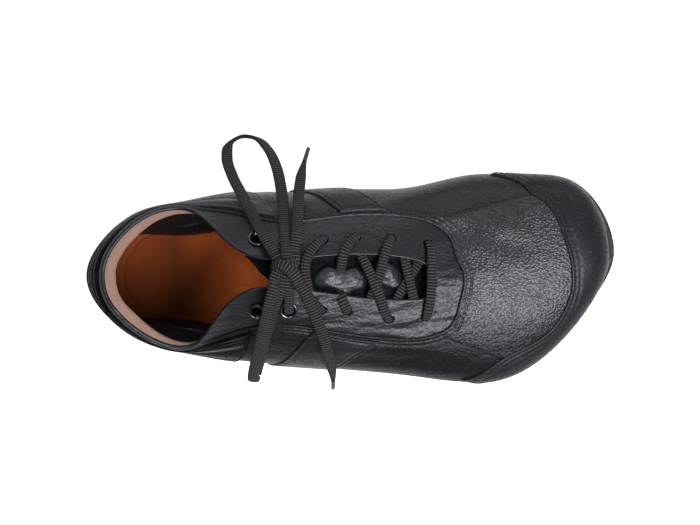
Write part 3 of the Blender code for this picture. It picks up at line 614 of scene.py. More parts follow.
def threadLook():
    made = Nodes("thread")
    twist = made.noise(3000.0, 2.0)
    shade = made.blend(twist, rgb(colors["thread"], 0.6), rgb(colors["thread"], 1.7))
    return made.set(
        Base_Color=shade, Roughness=0.7, Normal=made.bump(twist, 0.00006), Specular_IOR_Level=0.12)


def agletLook():
    made = Nodes("aglet")
    streak = made.noise(900.0)
    shade = made.blend(streak, rgb(colors["aglet"]), rgb(colors["agletStreak"]))
    return made.set(Base_Color=shade, Roughness=made.ramp(streak, 0.30, 0.45), Specular_IOR_Level=0.05)


looks["lining"] = liningLook()
looks["insole"] = insoleLook()
looks["lace"] = laceLook()
looks["metal"] = metalLook()
looks["thread"] = threadLook()
looks["aglet"] = agletLook()


# A sheet of columns by rows whose points come from place(u, v), u and v from 0 to 1.
def gridPiece(name, grid, place, look, closed=False, uvScale=(1.0, 1.0), merge=1e-6):
    bm = bmesh.new()
    uvLayer = bm.loops.layers.uv.new("grid")
    bmesh.ops.create_grid(bm, x_segments=grid[0], y_segments=grid[1], size=0.5, calc_uvs=True)
    corners = np.array([vertex.co[:2] for vertex in bm.verts]) + 0.5
    points = place(corners[:, 0], corners[:, 1])
    for face in bm.faces:
        for loop in face.loops:
            corner = corners[loop.vert.index]
            loop[uvLayer].uv = (corner[0] * uvScale[0], corner[1] * uvScale[1])
    for vertex, point in zip(bm.verts, points):
        vertex.co = point
    if closed:
        bmesh.ops.remove_doubles(bm, verts=bm.verts, dist=merge)
    if not any(edge.is_boundary for edge in bm.edges):
        bmesh.ops.recalc_face_normals(bm, faces=bm.faces)
    return finishPiece(name, bm, look)


def meshObject(name, bm):
    mesh = bpy.data.meshes.new(name)
    bm.to_mesh(mesh)
    bm.free()
    return link(bpy.data.objects.new(name, mesh))


def finishPiece(name, bm, look):
    piece = meshObject(name, bm)
    piece.data.shade_smooth()
    piece.data.materials.append(looks[look])
    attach(piece, "root")
    return piece


# The grid's u and v at each of its points, in the order of a gridPiece's vertices.
def gridCorners(grid):
    columns, rows = grid
    v, u = np.meshgrid(np.linspace(0, 1, rows + 1), np.linspace(0, 1, columns + 1), indexing="ij")
    return u.ravel(), v.ravel()


def paint(piece, name, values):
    layer = piece.data.attributes.new(name, "FLOAT", "POINT")
    layer.data.foreach_set("value", values.astype(np.float32))


# Creases in the upper, listed in millimetres from the heel's back and from its axis:
# start x, start y, end x, end y, width, depth.
creases = (
    (150, -34, 205, -28, 3.0, 0.5),
    (128, -44, 190, -52, 3.5, 0.6),
    (118, -36, 165, -40, 2.6, 0.5),
    (190, 20, 235, 6, 4.0, 0.35),
    (120, 33, 165, 36, 3.0, 0.45),
    (168, 30, 205, 34, 3.5, 0.4),
    (88, 30, 110, 38, 3.0, 0.5),
    (180, 2, 186, -26, 2.2, 0.35),
    (196, 18, 214, -34, 5.0, 0.35),
)


def creaseOut(points, reach=1.0):
    plan = planOf(points)
    out = np.zeros(len(plan))
    for x0, y0, x1, y1, width, depth in creases:
        first = np.array([x0, y0])
        along = np.array([x1, y1]) - first
        length = np.linalg.norm(along)
        part = (plan - first) @ along / length**2
        across = np.abs((plan - first) @ np.array([-along[1], along[0]]) / length) / width
        ends = clamp(np.minimum(part, 1 - part) * 4 + 0.35)
        ends = ends * ends * (3 - 2 * ends)
        trough = -np.exp(-across**2) + 0.45 * np.exp(-((across - 1.8) ** 2))
        out += trough * ends * depth * 0.001 * reach
    return out


# A soft edge: rounds off over its thickness, then a groove where each row of stitches pulls it in.
def edgeShape(distance, thickness, rows, groove=0.00035, width=0.0008):
    part = clamp(distance / thickness)
    out = thickness * np.sqrt(clamp(1 - (1 - part) ** 2))
    for row in rows:
        out = out - groove * np.exp(-(((distance - row) / width) ** 2))
    return out


# Lines where the grainy front panel meets the smooth quarters, in millimetres like the creases.
panelSeams = {
    "medial": ((186.0, 22.0), (190.1, 23.3), (198.2, 26.2), (214.3, 29.3), (227.7, 32.5), (241.0, 35.8)),
    "lateral": ((181.0, -33.5), (185.7, -36.1), (193.0, -40.2), (200.9, -43.1), (222.0, -52.5)),
}
panelStart = 181.0
vamp = {
    "grid": (860, 104),
    "fold": 0.0011,
    "foldReach": 0.008,
    "foldPart": 0.66,  # the share of the rows below the folded edge
    "stitchRows": (0.0024, 0.0046),
    "stitchGroove": 0.00040,
    "seam": 0.00035,
    "seamWidth": 0.8,
    "panelRise": 0.0003,
}


# How far a place lies in front of the seams, 0 in the quarters and 1 in the front panel, and its
# distance from them in millimetres.
def panelShare(points):
    plan = planOf(points)
    medial, lateral = (np.array(panelSeams[side]) for side in ("medial", "lateral"))
    medialGap = np.interp(plan[:, 0], medial[:, 0], medial[:, 1]) - plan[:, 1]
    lateralGap = plan[:, 1] - np.interp(plan[:, 0], lateral[:, 0], lateral[:, 1])
    front = clamp((plan[:, 0] - panelStart) / 3)
    nearest = np.minimum(np.abs(medialGap), np.abs(lateralGap))
    seam = np.where(plan[:, 0] > panelStart, nearest, 99)
    return clamp(np.minimum(medialGap, lateralGap) / vamp["seamWidth"] + 0.5) * front, seam


def placeVamp(u, v):
    around = u * loopRows
    length = ribLength(around)
    top = 1 - vampEdge(around) / length
    fold = vamp["foldReach"] / length
    part = vamp["foldPart"]
    share = np.where(v < part, v / part * (top - fold), top - fold + (v - part) / (1 - part) * fold)
    share = np.minimum(share, top)
    collar = clamp((vampEdge(around) - 0.003) / 0.006)
    groove = vamp["stitchGroove"] * collar
    rounded = edgeShape((top - share) * length, vamp["fold"], vamp["stitchRows"], groove)
    base = skin(around, share)
    inside, seam = panelShare(base)
    step = -vamp["seam"] * np.exp(-((seam / vamp["seamWidth"]) ** 2)) + vamp["panelRise"] * inside
    step = step * clamp((share - 0.25) / 0.1)
    return skin(around, share, rounded - vamp["fold"] + shoe["vampStep"] + creaseOut(base) + step)


vampPiece = gridPiece("vampAndQuarters", vamp["grid"], placeVamp, "vamp", True)
paint(vampPiece, "panel", panelShare(np.array([vertex.co for vertex in vampPiece.data.vertices]))[0])

# Facing and lining: rows run up the outside, turn at the edge, and run down the inside.
facing = {
    "grid": (560, 60),
    "under": 0.004,
    "innerShare": 0.12,
    # distance from the heel against how far the lining stands in over the footbed, in metres; its black
    # inner face covers the footbed's edge, partly as the dark lining and partly as painted shade
    "lean": (
        (0.0, 0.002), (0.018, 0.004), (0.036, 0.0085), (0.050, 0.0098), (0.072, 0.0090), (0.110, 0.0040),
        (0.300, 0.0)),
    "sheetEnd": 0.45,
    "turnEnd": 0.60,
    "closing": 0.985,
    "tuck": 0.0003,
}


def leanIn(points):
    return smooth(facing["lean"], points[:, 0] - start[0])[:, 0]


def placeFacing(u, v):
    around = u * loopRows
    length = ribLength(around)
    edge = vampEdge(around)
    collar = 1 - clamp((edge - shoe["rimBand"]) / (3 * shoe["rimBand"]))
    topOut = shoe["vampStep"] * collar * 0.8
    low = 1 - (edge + facing["under"]) / length
    half = (topOut + shoe["wall"]) / 2
    roll = half / length
    turn = clamp((v - facing["sheetEnd"]) / 0.15) * math.pi
    inner = clamp((v - facing["turnEnd"]) / 0.38)
    inside = v > facing["turnEnd"]
    share = low + (1 - roll - low) * clamp(v / facing["sheetEnd"]) + roll * np.sin(turn)
    share = np.where(inside, (1 - roll) * (1 - inner) + facing["innerShare"] * inner, share)
    share = np.where(v > facing["closing"], low, share)
    rise = clamp((share - low) * length / 0.004)
    sheetOut = topOut * rise - facing["tuck"] * (1 - rise)
    out = np.where(v <= facing["sheetEnd"], sheetOut, topOut - half + half * np.cos(turn))
    base = skin(around, share)
    # The lining leans in over the footbed: a dark sheet, partly lining and partly painted shade.
    out = np.where(inside, -shoe["wall"] - leanIn(base) * clamp((inner - 0.15) / 0.55) ** 0.8, out)
    first = skin(around, low, -facing["tuck"])
    points = skin(around, share, out + creaseOut(base, 0.7) * (1 - collar))
    return np.where((v > facing["closing"])[:, None], first, points)


facingPiece = gridPiece(
    "facingAndLining", facing["grid"], placeFacing, "facing", True)
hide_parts("upper")
print("upper ready")

# Eyelets from rear to front: distance from the heel as a share of the length, and from the
# throat's edge as a share of the ball's width.
eyelets = {
    "medial": (
        (0.330, 0.098), (0.396, 0.098), (0.453, 0.100), (0.513, 0.100), (0.579, 0.098), (0.646, 0.100)),
    "lateral": (
        (0.326, 0.126), (0.383, 0.131), (0.444, 0.108), (0.492, 0.092), (0.568, 0.110), (0.637, 0.102)),
}


def section(side, row):
    return np.asarray(row, float) if side == "lateral" else -np.asarray(row, float)


def eyelet(side, number):
    along, setback = eyelets[side][number]
    low, high = 3.0, 9.0
    for _ in range(26):
        middle = (low + high) / 2
        u = section(side, middle)
        share = 1 - shoe["ballWidth"] * setback / ribLength(u)
        if skin(u, share)[0] - start[0] < shoe["length"] * along:
            low = middle
        else:
            high = middle
    return float(u), float(share)


def standing(u, share, out=0.0):
    normal = Vector(skinNormal(u, share))
    turn = normal.to_track_quat("Z", "X").to_matrix().to_4x4()
    return Matrix.Translation(Vector(skin(u, share, out))) @ turn


def cutHoles():
    bm = bmesh.new()
    for side in eyelets:
        for number in range(6):
            bmesh.ops.create_cone(
                bm, cap_ends=True, segments=28, radius1=shoe["holeRadius"], radius2=shoe["holeRadius"],
                depth=0.012, matrix=standing(*eyelet(side, number)))
    cutter = meshObject("holes", bm)
    cut = facingPiece.modifiers.new("holes", "BOOLEAN")
    cut.operation = "DIFFERENCE"
    cut.object = cutter
    cut.solver = "EXACT"
    bpy.context.view_layer.update()
    cutPiece = facingPiece.evaluated_get(bpy.context.evaluated_depsgraph_get())
    done = bpy.data.meshes.new_from_object(cutPiece)
    facingPiece.modifiers.clear()
    facingPiece.data = done
    bpy.data.objects.remove(cutter)


cutHoles()
print("holes cut")

# Section of a ring: radius and height over the facing.
ringShape = (
    (0.0019, -0.0034), (0.0021, -0.0018), (0.0026, -0.0004), (0.0032, 0.0005), (0.0038, 0.0012),
    (0.0043, 0.0013), (0.0047, 0.0009), (0.0049, 0.0002), (0.0048, -0.0006))
ringSteps = 40
ringSeat = 0.0002


def makeRing(side, number):
    u, share = eyelet(side, number)
    bm = bmesh.new()
    line = [bm.verts.new((radius, 0, height)) for radius, height in ringShape]
    edges = [bm.edges.new(pair) for pair in zip(line, line[1:])]
    bmesh.ops.spin(
        bm, geom=line + edges, cent=(0, 0, 0), axis=(0, 0, 1), dvec=(0, 0, 0), angle=2 * math.pi,
        steps=ringSteps, use_merge=True, use_duplicate=False)
    bmesh.ops.recalc_face_normals(bm, faces=bm.faces)
    bmesh.ops.transform(bm, matrix=standing(u, share, ringSeat), verts=bm.verts)
    name = side + "Ring" + str(number + 1)
    piece = finishPiece(name, bm, "metal")
    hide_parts("eyelet_ring_" + side + "_" + str(number + 1))


for ringSide in eyelets:
    for ringNumber in range(2):
        makeRing(ringSide, ringNumber)

# Toe cap: its inner edge by place round the shoe and reach up from the sole.
toeCap = {
    "edge": (
        (7.70, 0.225), (8.80, 0.311), (9.90, 0.255), (10.70, 0.273), (11.50, 0.313), (12.40, 0.340),
        (13.60, 0.336), (14.40, 0.310), (15.00, 0.235), (15.65, 0.190)),
    "ends": ((8.40, 7.75), (15.40, 15.60)),
    "grid": (420, 60),
    "stitchRows": (0.0026, 0.0050),
}
# How an overlay's columns and rows crowd at its edges, and where its foot lies on the sole's lip.
overlay = {
    "along": ((0, 0.06, 0.94, 1), (0, 0.02, 0.98, 1)),
    "across": ((0, 0.1, 0.68, 1), (0, 0.03, 0.90, 1)),
    "foot": 0.6,
    "seat": 0.0001,
    "stitchRows": (0.0022,),
}


# A place round the shoe that runs from low at an overlay's foot to high at its top.
def leaning(low, high, power=1.0):
    return lambda part: low + (high - low) * part**power


# Covers the upper with a sheet between two end lines and a top line, with soft edges.
def overlayPlace(startLine, endLine, topShare, stitchRows):
    def place(u, v):
        along = np.interp(u, *overlay["along"])
        across = np.interp(v, *overlay["across"])
        around = startLine(across) + (endLine(across) - startLine(across)) * along
        length = ribLength(around)
        low = (shoe["lipHeight"] * overlay["foot"]) / length
        high = topShare(around, length)
        share = low + (high - low) * across
        pitch = np.linalg.norm(skin(around + 0.05, share) - skin(around - 0.05, share), axis=-1) / 0.1
        ends = np.minimum(np.abs(around - startLine(across)), np.abs(around - endLine(across))) * pitch
        rounded = edgeShape(np.minimum((high - share) * length, ends), shoe["overlay"], stitchRows)
        out = rounded + shoe["vampStep"] - overlay["seat"] + creaseOut(skin(around, share))
        return skin(around, share, out)

    return place


def capTop(around, length):
    return shoe["ballWidth"] * smooth(toeCap["edge"], around)[..., 0] / length


placeToeCap = overlayPlace(*(leaning(*ends) for ends in toeCap["ends"]), capTop, toeCap["stitchRows"])
toeCapPiece = gridPiece("toeCap", toeCap["grid"], placeToeCap, "overlay")
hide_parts("toe_cap")

heelCounter = {
    "grid": (360, 130),
    "ends": ((-3.40, -4.90), (3.40, 4.42)),
    "belowRim": 0.0040,
    "belowVampEdge": 0.0028,
    "ribShares": (0.36, 0.50, 0.62, 0.73, 0.83),  # pressed lines round the heel
    "ribDepth": 0.0007,
    "ribWidth": 0.022,
    # where the painted highlight lines lie beside the ribs, and how wide they are
    "highlightOffset": 0.028,
    "highlightWidth": 0.010,
}


def belowEdge(around, length):
    below = np.maximum(vampEdge(around) + heelCounter["belowVampEdge"], heelCounter["belowRim"])
    return 1 - below / length


def heelRibs(v, offset, width):
    return sum(np.exp(-(((v - rib - offset) / width) ** 2)) for rib in heelCounter["ribShares"])


coverHeel = overlayPlace(
    *(leaning(*ends) for ends in heelCounter["ends"]), belowEdge, overlay["stitchRows"])


def placeCounter(u, v):
    depth = heelCounter["ribDepth"] * clamp((0.92 - np.abs(u - 0.5) * 2) / 0.25)
    press = depth * heelRibs(v, 0.0, heelCounter["ribWidth"])
    return coverHeel(u, v) - skinNormal(-4.1 + 8.1 * u, 0.2 + 0.7 * v) * press[:, None]


counterPiece = gridPiece(
    "heelCounter", heelCounter["grid"], placeCounter, "heel")
counterU, counterV = gridCorners(heelCounter["grid"])
# Painted highlight: the line attribute marks the crests just beside the pressed ribs.
counterHighlight = heelRibs(counterV, heelCounter["highlightOffset"], heelCounter["highlightWidth"])
paint(counterPiece, "line", counterHighlight * clamp((0.95 - np.abs(counterU - 0.5) * 2) / 0.2))
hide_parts("heel_counter")

# Side straps: rear and front edge, each from its foot to its top.
straps = {
    "lateral": {"edges": ((4.25, 5.50), (5.20, 6.55)), "lean": 1.6},
    "medial": {"edges": ((4.50, 5.95), (5.30, 6.70)), "lean": 1.15},
}
strapGrid = (70, 60)
for strapSide, strap in straps.items():
    way = 1 if strapSide == "lateral" else -1
    strapLines = [leaning(way * low, way * high, strap["lean"]) for low, high in strap["edges"]][::way]
    strapPiece = gridPiece(
        "sideStrap" + strapSide.capitalize(), strapGrid,
        overlayPlace(*strapLines, belowEdge, overlay["stitchRows"]), "overlay")
    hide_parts("side_strap_" + strapSide)
print("overlays ready")

# Tongue: strips across the throat, pushed into soft waves. Its rear edge is an arc.
tongue = {
    "rearRow": 4.66,
    "rearArc": 0.50,  # how many sections further forward the rear edge lies at the lateral side
    "frontRow": 11.6,
    "overlap": 0.020,
    "under": 0.0028,
    "thickness": 0.0015,
    # distance from the heel against the rise of its middle, in metres
    "bulge": (
        (0.095, 0.0), (0.112, 0.0002), (0.124, 0.0014), (0.136, 0.0020), (0.147, 0.0014), (0.160, 0.0010),
        (0.172, -0.0010), (0.185, -0.0030)),
    "wave": 0.00030,
    "ripple": 0.00012,
    # raised pads: start and end from the heel in metres, start and end across the slit, rise
    "pads": ((0.1215, 0.1475, 0.06, 0.70, 0.0032), (0.1545, 0.1665, 0.24, 0.84, 0.0024)),
    "sink": 0.0026,
    "hiddenRow": 0.4,  # how far behind the rear lateral eyelet the hidden edge starts
    "grid": (240, 90),
}


# The tongue's points, and how much each lies on a raised pad. The middle rows cross the slit, and
# the outer ones lie hidden under the facings.
def tongueShape(u, v):
    slit = clamp((v - 0.3) / 0.4)
    rear = tongue["rearRow"] + tongue["rearArc"] * (1 - slit) ** 0.7 * (1 - u) ** 2
    hidden = np.interp(v, [0.0, 0.14, 0.24], [1.0, 1.0, 0.0])
    rear = rear + (abs(eyelet("lateral", 0)[0]) - tongue["hiddenRow"] - rear) * hidden
    row = rear + (tongue["frontRow"] - rear) * u
    reach = tongue["overlap"] * (1 - np.interp(v, [0, 0.3, 0.7, 1], [0, 1, 1, 0]))
    lateral, medial = (
        skin(at, 1 - reach / ribLength(at), -tongue["under"])
        for at in (section("lateral", row), section("medial", row)))
    across = lateral + (medial - lateral) * slit[:, None]
    points = np.where((v < 0.3)[:, None], lateral, np.where((v > 0.7)[:, None], medial, across))
    x, y = points[:, 0] - start[0], points[:, 1] - start[1]
    bowl = np.sin(math.pi * slit)
    wave = np.sin(x * 700 + 2.2 * np.sin(y * 330 + x * 90)) * tongue["wave"]
    ripple = np.sin(x * 1900 + 3.0 * np.sin(y * 420) + 1.3 * np.sin(x * 610)) * tongue["ripple"]
    rise = smooth(tongue["bulge"], x)[:, 0] * bowl**0.5 + (wave + ripple) * bowl
    rise = rise - tongue["sink"] * clamp(bowl * 6)
    onPad = np.zeros(len(x))
    for x0, x1, side0, side1, height in tongue["pads"]:
        inX = (2 * x - x0 - x1 + 0.0012 * np.sin(slit * 9)) / (x1 - x0)
        inSide = (2 * slit - side0 - side1 + 0.10 * np.sin(x * 420 + 1.0)) / (side1 - side0)
        pad = np.sqrt(clamp(1.25 - np.abs(inX) ** 3 - np.abs(inSide) ** 3))
        onPad = np.maximum(onPad, pad)
        rise = rise + height * pad * (0.85 + 0.15 * np.sin(x * 390 + 2.0))
    return points + np.array([0, 0, 1.0]) * rise[:, None], onPad


tonguePiece = gridPiece(
    "tongueSheet", tongue["grid"], lambda u, v: tongueShape(u, v)[0], "tongue")
paint(tonguePiece, "panel", tongueShape(*gridCorners(tongue["grid"]))[1])
tongueSolid = tonguePiece.modifiers.new("leather", "SOLIDIFY")
tongueSolid.thickness = tongue["thickness"]
tongueSolid.offset = -1.0
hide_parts("tongue")

# Insole: a plain leather footbed with a pressed line near its rim, as one closed plate.
insole = {
    "inset": 0.0060,
    "rimRise": 0.0010,
    "rollStand": 0.0068,
    "lineInset": 0.0016,
    "pressDepth": 0.0006,
    "underside": 0.0050,
    "top": 0.0079,
    "spine": -0.0075,
    "spineEnds": (0.022, 0.86),
    "grid": (320, 150),
    "merge": 2e-5,
    "liningRow": 0.004,
}


# Plan points from the shoe's spine, at 0, out to an inset line round the sole, at 1.
def planOut(around, inset, reach, ends):
    middle = shoe["length"] * curves["along"](around) * ends[1] + ends[0]
    spine = np.stack([middle, np.full(len(around), insole["spine"])], -1)
    edge, outward = soleEdge(around)
    rim = edge - outward * np.asarray(inset)[..., None]
    return spine + (rim - spine) * reach[:, None], rim


# Where the rear lining meets the footbed: the pressed line runs just inside it.
def liningEdge():
    around = np.linspace(-4.6, 4.4, 360)
    share = 1 - insole["liningRow"] / ribLength(around)
    stand = insole["rollStand"] * clamp(1 - np.abs(around) / 4.2) ** 0.3
    stand = np.maximum(leanIn(skin(around, share)), stand)
    return planOf(skin(around, share, -shoe["wall"] - stand - insole["lineInset"])) / 1000


liningLine = liningEdge()


def placeInsole(u, v):
    reach = np.interp(v, [0, 0.8, 0.84, 0.88, 0.90, 1.0], [0, 0.93, 0.992, 1.0, 1.0, 0.0])
    plan, rim = planOut(u * loopRows, insole["inset"], reach, insole["spineEnds"])
    distance = np.linalg.norm(plan - rim, axis=1)
    gap = np.array([np.min(np.linalg.norm(liningLine - place, axis=1)) for place in plan])
    height = insole["top"] + insole["rimRise"] * np.exp(-distance / 0.006)
    height = height - insole["pressDepth"] * np.exp(-((gap / 0.00045) ** 2))
    height = np.where(v > 0.87, insole["underside"], height)
    return lifted(plan, height) + start


insolePiece = gridPiece(
    "footbed", insole["grid"], placeInsole, "insole", True,
    merge=insole["merge"])
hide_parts("insole")

# Padded heel lining: a soft roll inside the collar.
roll = {
    "ends": (-3.48, 3.38),
    "back": 0.0074,
    "sides": 0.0058,
    "grid": (260, 48),
    "fade": 0.26,
    # share of its rows against the distance below the collar's edge, and against its swell
    "drop": ((0, 0.10, 0.22, 0.36, 0.6, 1), (0.0, 0.0001, 0.0008, 0.0026, 0.010, 0.034)),
    "swell": ((0, 0.10, 0.22, 0.36, 0.5, 0.7, 1), (0.0, 0.42, 0.82, 1.0, 0.93, 0.62, 0.25)),
    "top": 0.0014,
}


def placeRoll(u, v):
    around = roll["ends"][0] + (roll["ends"][1] - roll["ends"][0]) * u
    fade = clamp(np.minimum(u, 1 - u) / roll["fade"]) ** 0.75
    drop = roll["top"] + np.interp(v, *roll["drop"])
    swell = np.interp(v, *roll["swell"])
    bulge = roll["sides"] + (roll["back"] - roll["sides"]) * clamp(1 - np.abs(around) / 2.6)
    lumps = 1 + 0.012 * np.sin(around * 5.0) + 0.008 * np.sin(around * 13.0 + v * 6)
    out = -shoe["wall"] * 0.5 - bulge * swell * (0.04 + 0.96 * fade) * lumps
    return skin(around, 1 - drop / ribLength(around), out)


rollPiece = gridPiece("heelRoll", roll["grid"], placeRoll, "lining")
print("inside ready")

# Sole: one closed plate with a rounded edge, two ledges and a lip, from its spine underneath out
# to the edge and back over the top. Rows are (inset from the sole's edge, height).
sole = {"columns": 480, "spineEnds": (0.030, 0.8), "across": 16, "flat": 0.0150, "lipDepth": 0.003}
bend, ledge, lip = shoe["soleEdge"], shoe["ledge"], shoe["lipWidth"]
lipTop = shoe["soleThickness"] + shoe["lipHeight"]
soleProfile = [(sole["flat"], 0.0), (bend * 1.6, 0.0)]
for soleTurn in range(10, 91, 16):
    soleAngle = math.radians(soleTurn)
    soleProfile.append((bend * (1 - math.sin(soleAngle)), bend * (1 - math.cos(soleAngle))))
soleProfile += [
    (0.0, lipTop - 2.9 * ledge), (0.0001, lipTop - 2.5 * ledge), (0.0005, lipTop - 2.2 * ledge),
    (ledge, lipTop - 2.1 * ledge), (ledge, lipTop - 0.5 * ledge), (ledge + 0.0002, lipTop - 0.15 * ledge),
    (ledge + 0.0006, lipTop), (lip, lipTop), (lip, lipTop - sole["lipDepth"]),
    (lip, shoe["soleThickness"]), (sole["flat"], shoe["soleThickness"]),
]


def placeSole(u, v):
    rows = len(soleProfile) - 1
    at = v * (rows + 2 * sole["across"]) - sole["across"]
    inset, height = (
        np.interp(np.clip(at, 0, rows), np.arange(rows + 1), values) for values in zip(*soleProfile))
    reach = 1 - np.maximum(-at, np.maximum(at - rows, 0)).clip(0) / sole["across"]
    plan = planOut(u * loopRows, inset, reach, sole["spineEnds"])[0]
    return lifted(plan, height) + start


solePiece = gridPiece(
    "soleSheet", (sole["columns"], len(soleProfile) - 1 + 2 * sole["across"]), placeSole, "sole",
    True, merge=insole["merge"])
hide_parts("outsole")
print("sole ready")


# Stitches: short threads that dive into the leather at each end, along a run of points.
stitch = {
    "pitch": 0.0026, "length": 0.0019, "thick": 0.00042, "wide": 0.55, "tall": 0.6,
    "seat": 0.0002, "capSeat": 0.0003, "throat": (3.9, 20.1, 900), "cap": (7.85, 15.55, 700),
}
seamStitch = {"pitch": 0.0012, "length": 0.0011, "thick": 0.00036, "zigzag": 0.55, "points": 240}


def stitchRun(bm, points, normals, pitch=stitch["pitch"], length=stitch["length"], thick=stitch["thick"]):
    travelled = travel(points)

    def read(at, rows):
        return np.array([np.interp(at, travelled, rows[:, axis]) for axis in range(3)])

    for at in np.arange(pitch / 2, travelled[-1], pitch):
        ends = [read(at + side * length / 2, points) for side in (-1, 1)]
        along = Vector(ends[1] - ends[0]).normalized()
        across = Vector(read(at, normals)).normalized().cross(along).normalized()
        turn = Matrix((along, across, along.cross(across))).transposed().to_4x4()
        size = Matrix.Diagonal((length / 2, thick * stitch["wide"], thick * stitch["tall"], 1))
        place = Matrix.Translation(Vector((ends[0] + ends[1]) / 2))
        bmesh.ops.create_icosphere(bm, subdivisions=1, radius=1.0, matrix=place @ turn @ size)


stitchMesh = bmesh.new()
throatRun = np.linspace(*stitch["throat"])
for stitchDistance in vamp["stitchRows"]:
    throatShare = 1 - (vampEdge(throatRun) + stitchDistance) / ribLength(throatRun)
    throatOut = shoe["vampStep"] - stitch["seat"] + creaseOut(skin(throatRun, throatShare))
    stitchRun(stitchMesh, skin(throatRun, throatShare, throatOut), skinNormal(throatRun, throatShare))
capRun = np.linspace(*stitch["cap"])
capLength = ribLength(capRun)
capShare = capTop(capRun, capLength) - toeCap["stitchRows"][0] / capLength
capOut = shoe["vampStep"] + shoe["overlay"] - stitch["capSeat"]
stitchRun(stitchMesh, skin(capRun, capShare, capOut), skinNormal(capRun, capShare))
for seamLine in panelSeams.values():
    seamPlan = smoothLine([(x, y, 0.0) for x, y in seamLine], seamStitch["points"])
    zigzag = np.where(np.arange(len(seamPlan)) % 6 < 3, seamStitch["zigzag"], -seamStitch["zigzag"])
    seamSeats = [
        vampPiece.closest_point_on_mesh(onTop(x, y + turn, 1.0))
        for (x, y, _), turn in zip(seamPlan, zigzag)]
    seamNormals = np.array([seat[2] for seat in seamSeats])
    seamPoints = np.array([seat[1] for seat in seamSeats]) + seamNormals * stitch["seat"]
    stitchRun(
        stitchMesh, seamPoints, seamNormals, *(seamStitch[part] for part in ("pitch", "length", "thick")))
finishPiece("stitches", stitchMesh, "thread")
print("stitches ready")

# Lace: a flat woven strip swept along a smooth line, lying on what is under it.
lace = {
    "width": 0.0060, "thick": 0.0021, "step": 0.0006, "sides": 18, "pathPoints": 70,
    "strandWidth": 0.0054, "knotWidth": 0.0062, "roughPoints": 60, "easing": 30,
}


def laceStrip(name, points, width=lace["width"], taper=(1.0, 1.0)):
    total = travel(smoothLine(points, lace["roughPoints"]))[-1]
    rings = max(8, int(total / lace["step"]))
    line = smoothLine(points, rings + 1)
    along = direction(np.gradient(line, axis=0))
    normals = np.array([nearestNormal(point) for point in line])
    for _ in range(lace["easing"]):
        normals[1:-1] = (normals[:-2] + normals[1:-1] + normals[2:]) / 3
    normals = direction(normals - along * (normals * along).sum(1, keepdims=True))
    across = np.cross(along, normals)
    size = np.interp(np.linspace(0, 1, rings + 1), np.linspace(0, 1, len(taper)), taper)

    def place(u, v):
        row = np.rint(u * (rings + 2)).astype(int)
        at = np.clip(row - 1, 0, rings)
        closed = ((row > 0) & (row < rings + 2)) * 1.0
        flat, tall = np.cos(2 * math.pi * v), np.sin(2 * math.pi * v)
        side = np.sign(flat) * np.abs(flat) ** 0.75 * width / 2 * size[at] * closed
        rise = np.sign(tall) * np.abs(tall) ** 0.85 * lace["thick"] / 2 * np.sqrt(size[at]) * closed
        return line[at] + across[at] * side[:, None] + normals[at] * rise[:, None]

    piece = gridPiece(
        name, (rings + 2, lace["sides"]), place, "lace", True, (total, weave["round"]))
    return piece, line, total


# Lace routes, in millimetres from the heel's back.
def fromHeel(points):
    return np.asarray(points, float) / 1000 + start


freeLace = {
    "loopMedial": (
        (101.4, 9.6, 82.1), (95.5, 20.0, 74.5), (89.5, 31.8, 61.2), (84.5, 41.8, 50.8),
        (80.0, 51.2, 41.0), (77.5, 60.7, 32.5), (79.0, 67.8, 26.5), (85.5, 71.3, 24.0),
        (93.5, 69.8, 26.5), (99.5, 63.6, 33.0), (103.5, 54.2, 41.5), (105.5, 43.6, 51.0),
        (106.5, 32.0, 63.2), (107.0, 20.0, 75.5), (107.4, 10.7, 82.2)),
    "loopLateral": (
        (101.3, -4.1, 83.9), (98.8, -12.0, 82.9), (95.8, -22.0, 75.8), (92.8, -33.0, 65.8),
        (90.1, -43.0, 55.5), (88.2, -49.4, 47.0), (87.1, -54.0, 39.6), (86.8, -56.6, 33.8),
        (87.2, -56.8, 29.2), (88.0, -54.6, 27.2), (88.9, -51.8, 30.6), (90.2, -47.8, 40.0),
        (92.0, -42.5, 50.5), (94.8, -33.0, 61.8),
        (98.4, -22.0, 72.4), (102.4, -12.0, 80.2), (105.6, -5.9, 82.8)),
    "endMedial": (
        (111.2, 9.7, 81.5), (113.0, 20.0, 77.0), (114.0, 31.0, 68.0), (115.0, 42.0, 57.0),
        (116.5, 51.0, 46.5), (118.0, 56.5, 38.0)),
    "agletMedial": ((118.0, 56.5, 38.0), (119.5, 61.0, 30.0), (120.5, 64.0, 24.0)),
    "endLateral": (
        (112.0, -3.7, 82.0), (116.5, -12.0, 79.0), (120.5, -22.0, 74.5), (124.2, -32.5, 68.2),
        (126.8, -43.0, 60.0), (128.3, -52.0, 50.0), (128.8, -58.0, 39.5)),
    "agletLateral": ((128.8, -58.0, 39.5), (128.7, -61.2, 31.5), (128.5, -63.2, 24.5)),
}


def declareLace(node):
    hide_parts(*node)


aglet = {
    "grid": (40, 16), "radius": 0.0012,
    "profile": ((0, 0.02, 0.1, 0.93, 0.985, 1), (0.75, 1.05, 1.0, 0.9, 0.65, 0.0)),
}


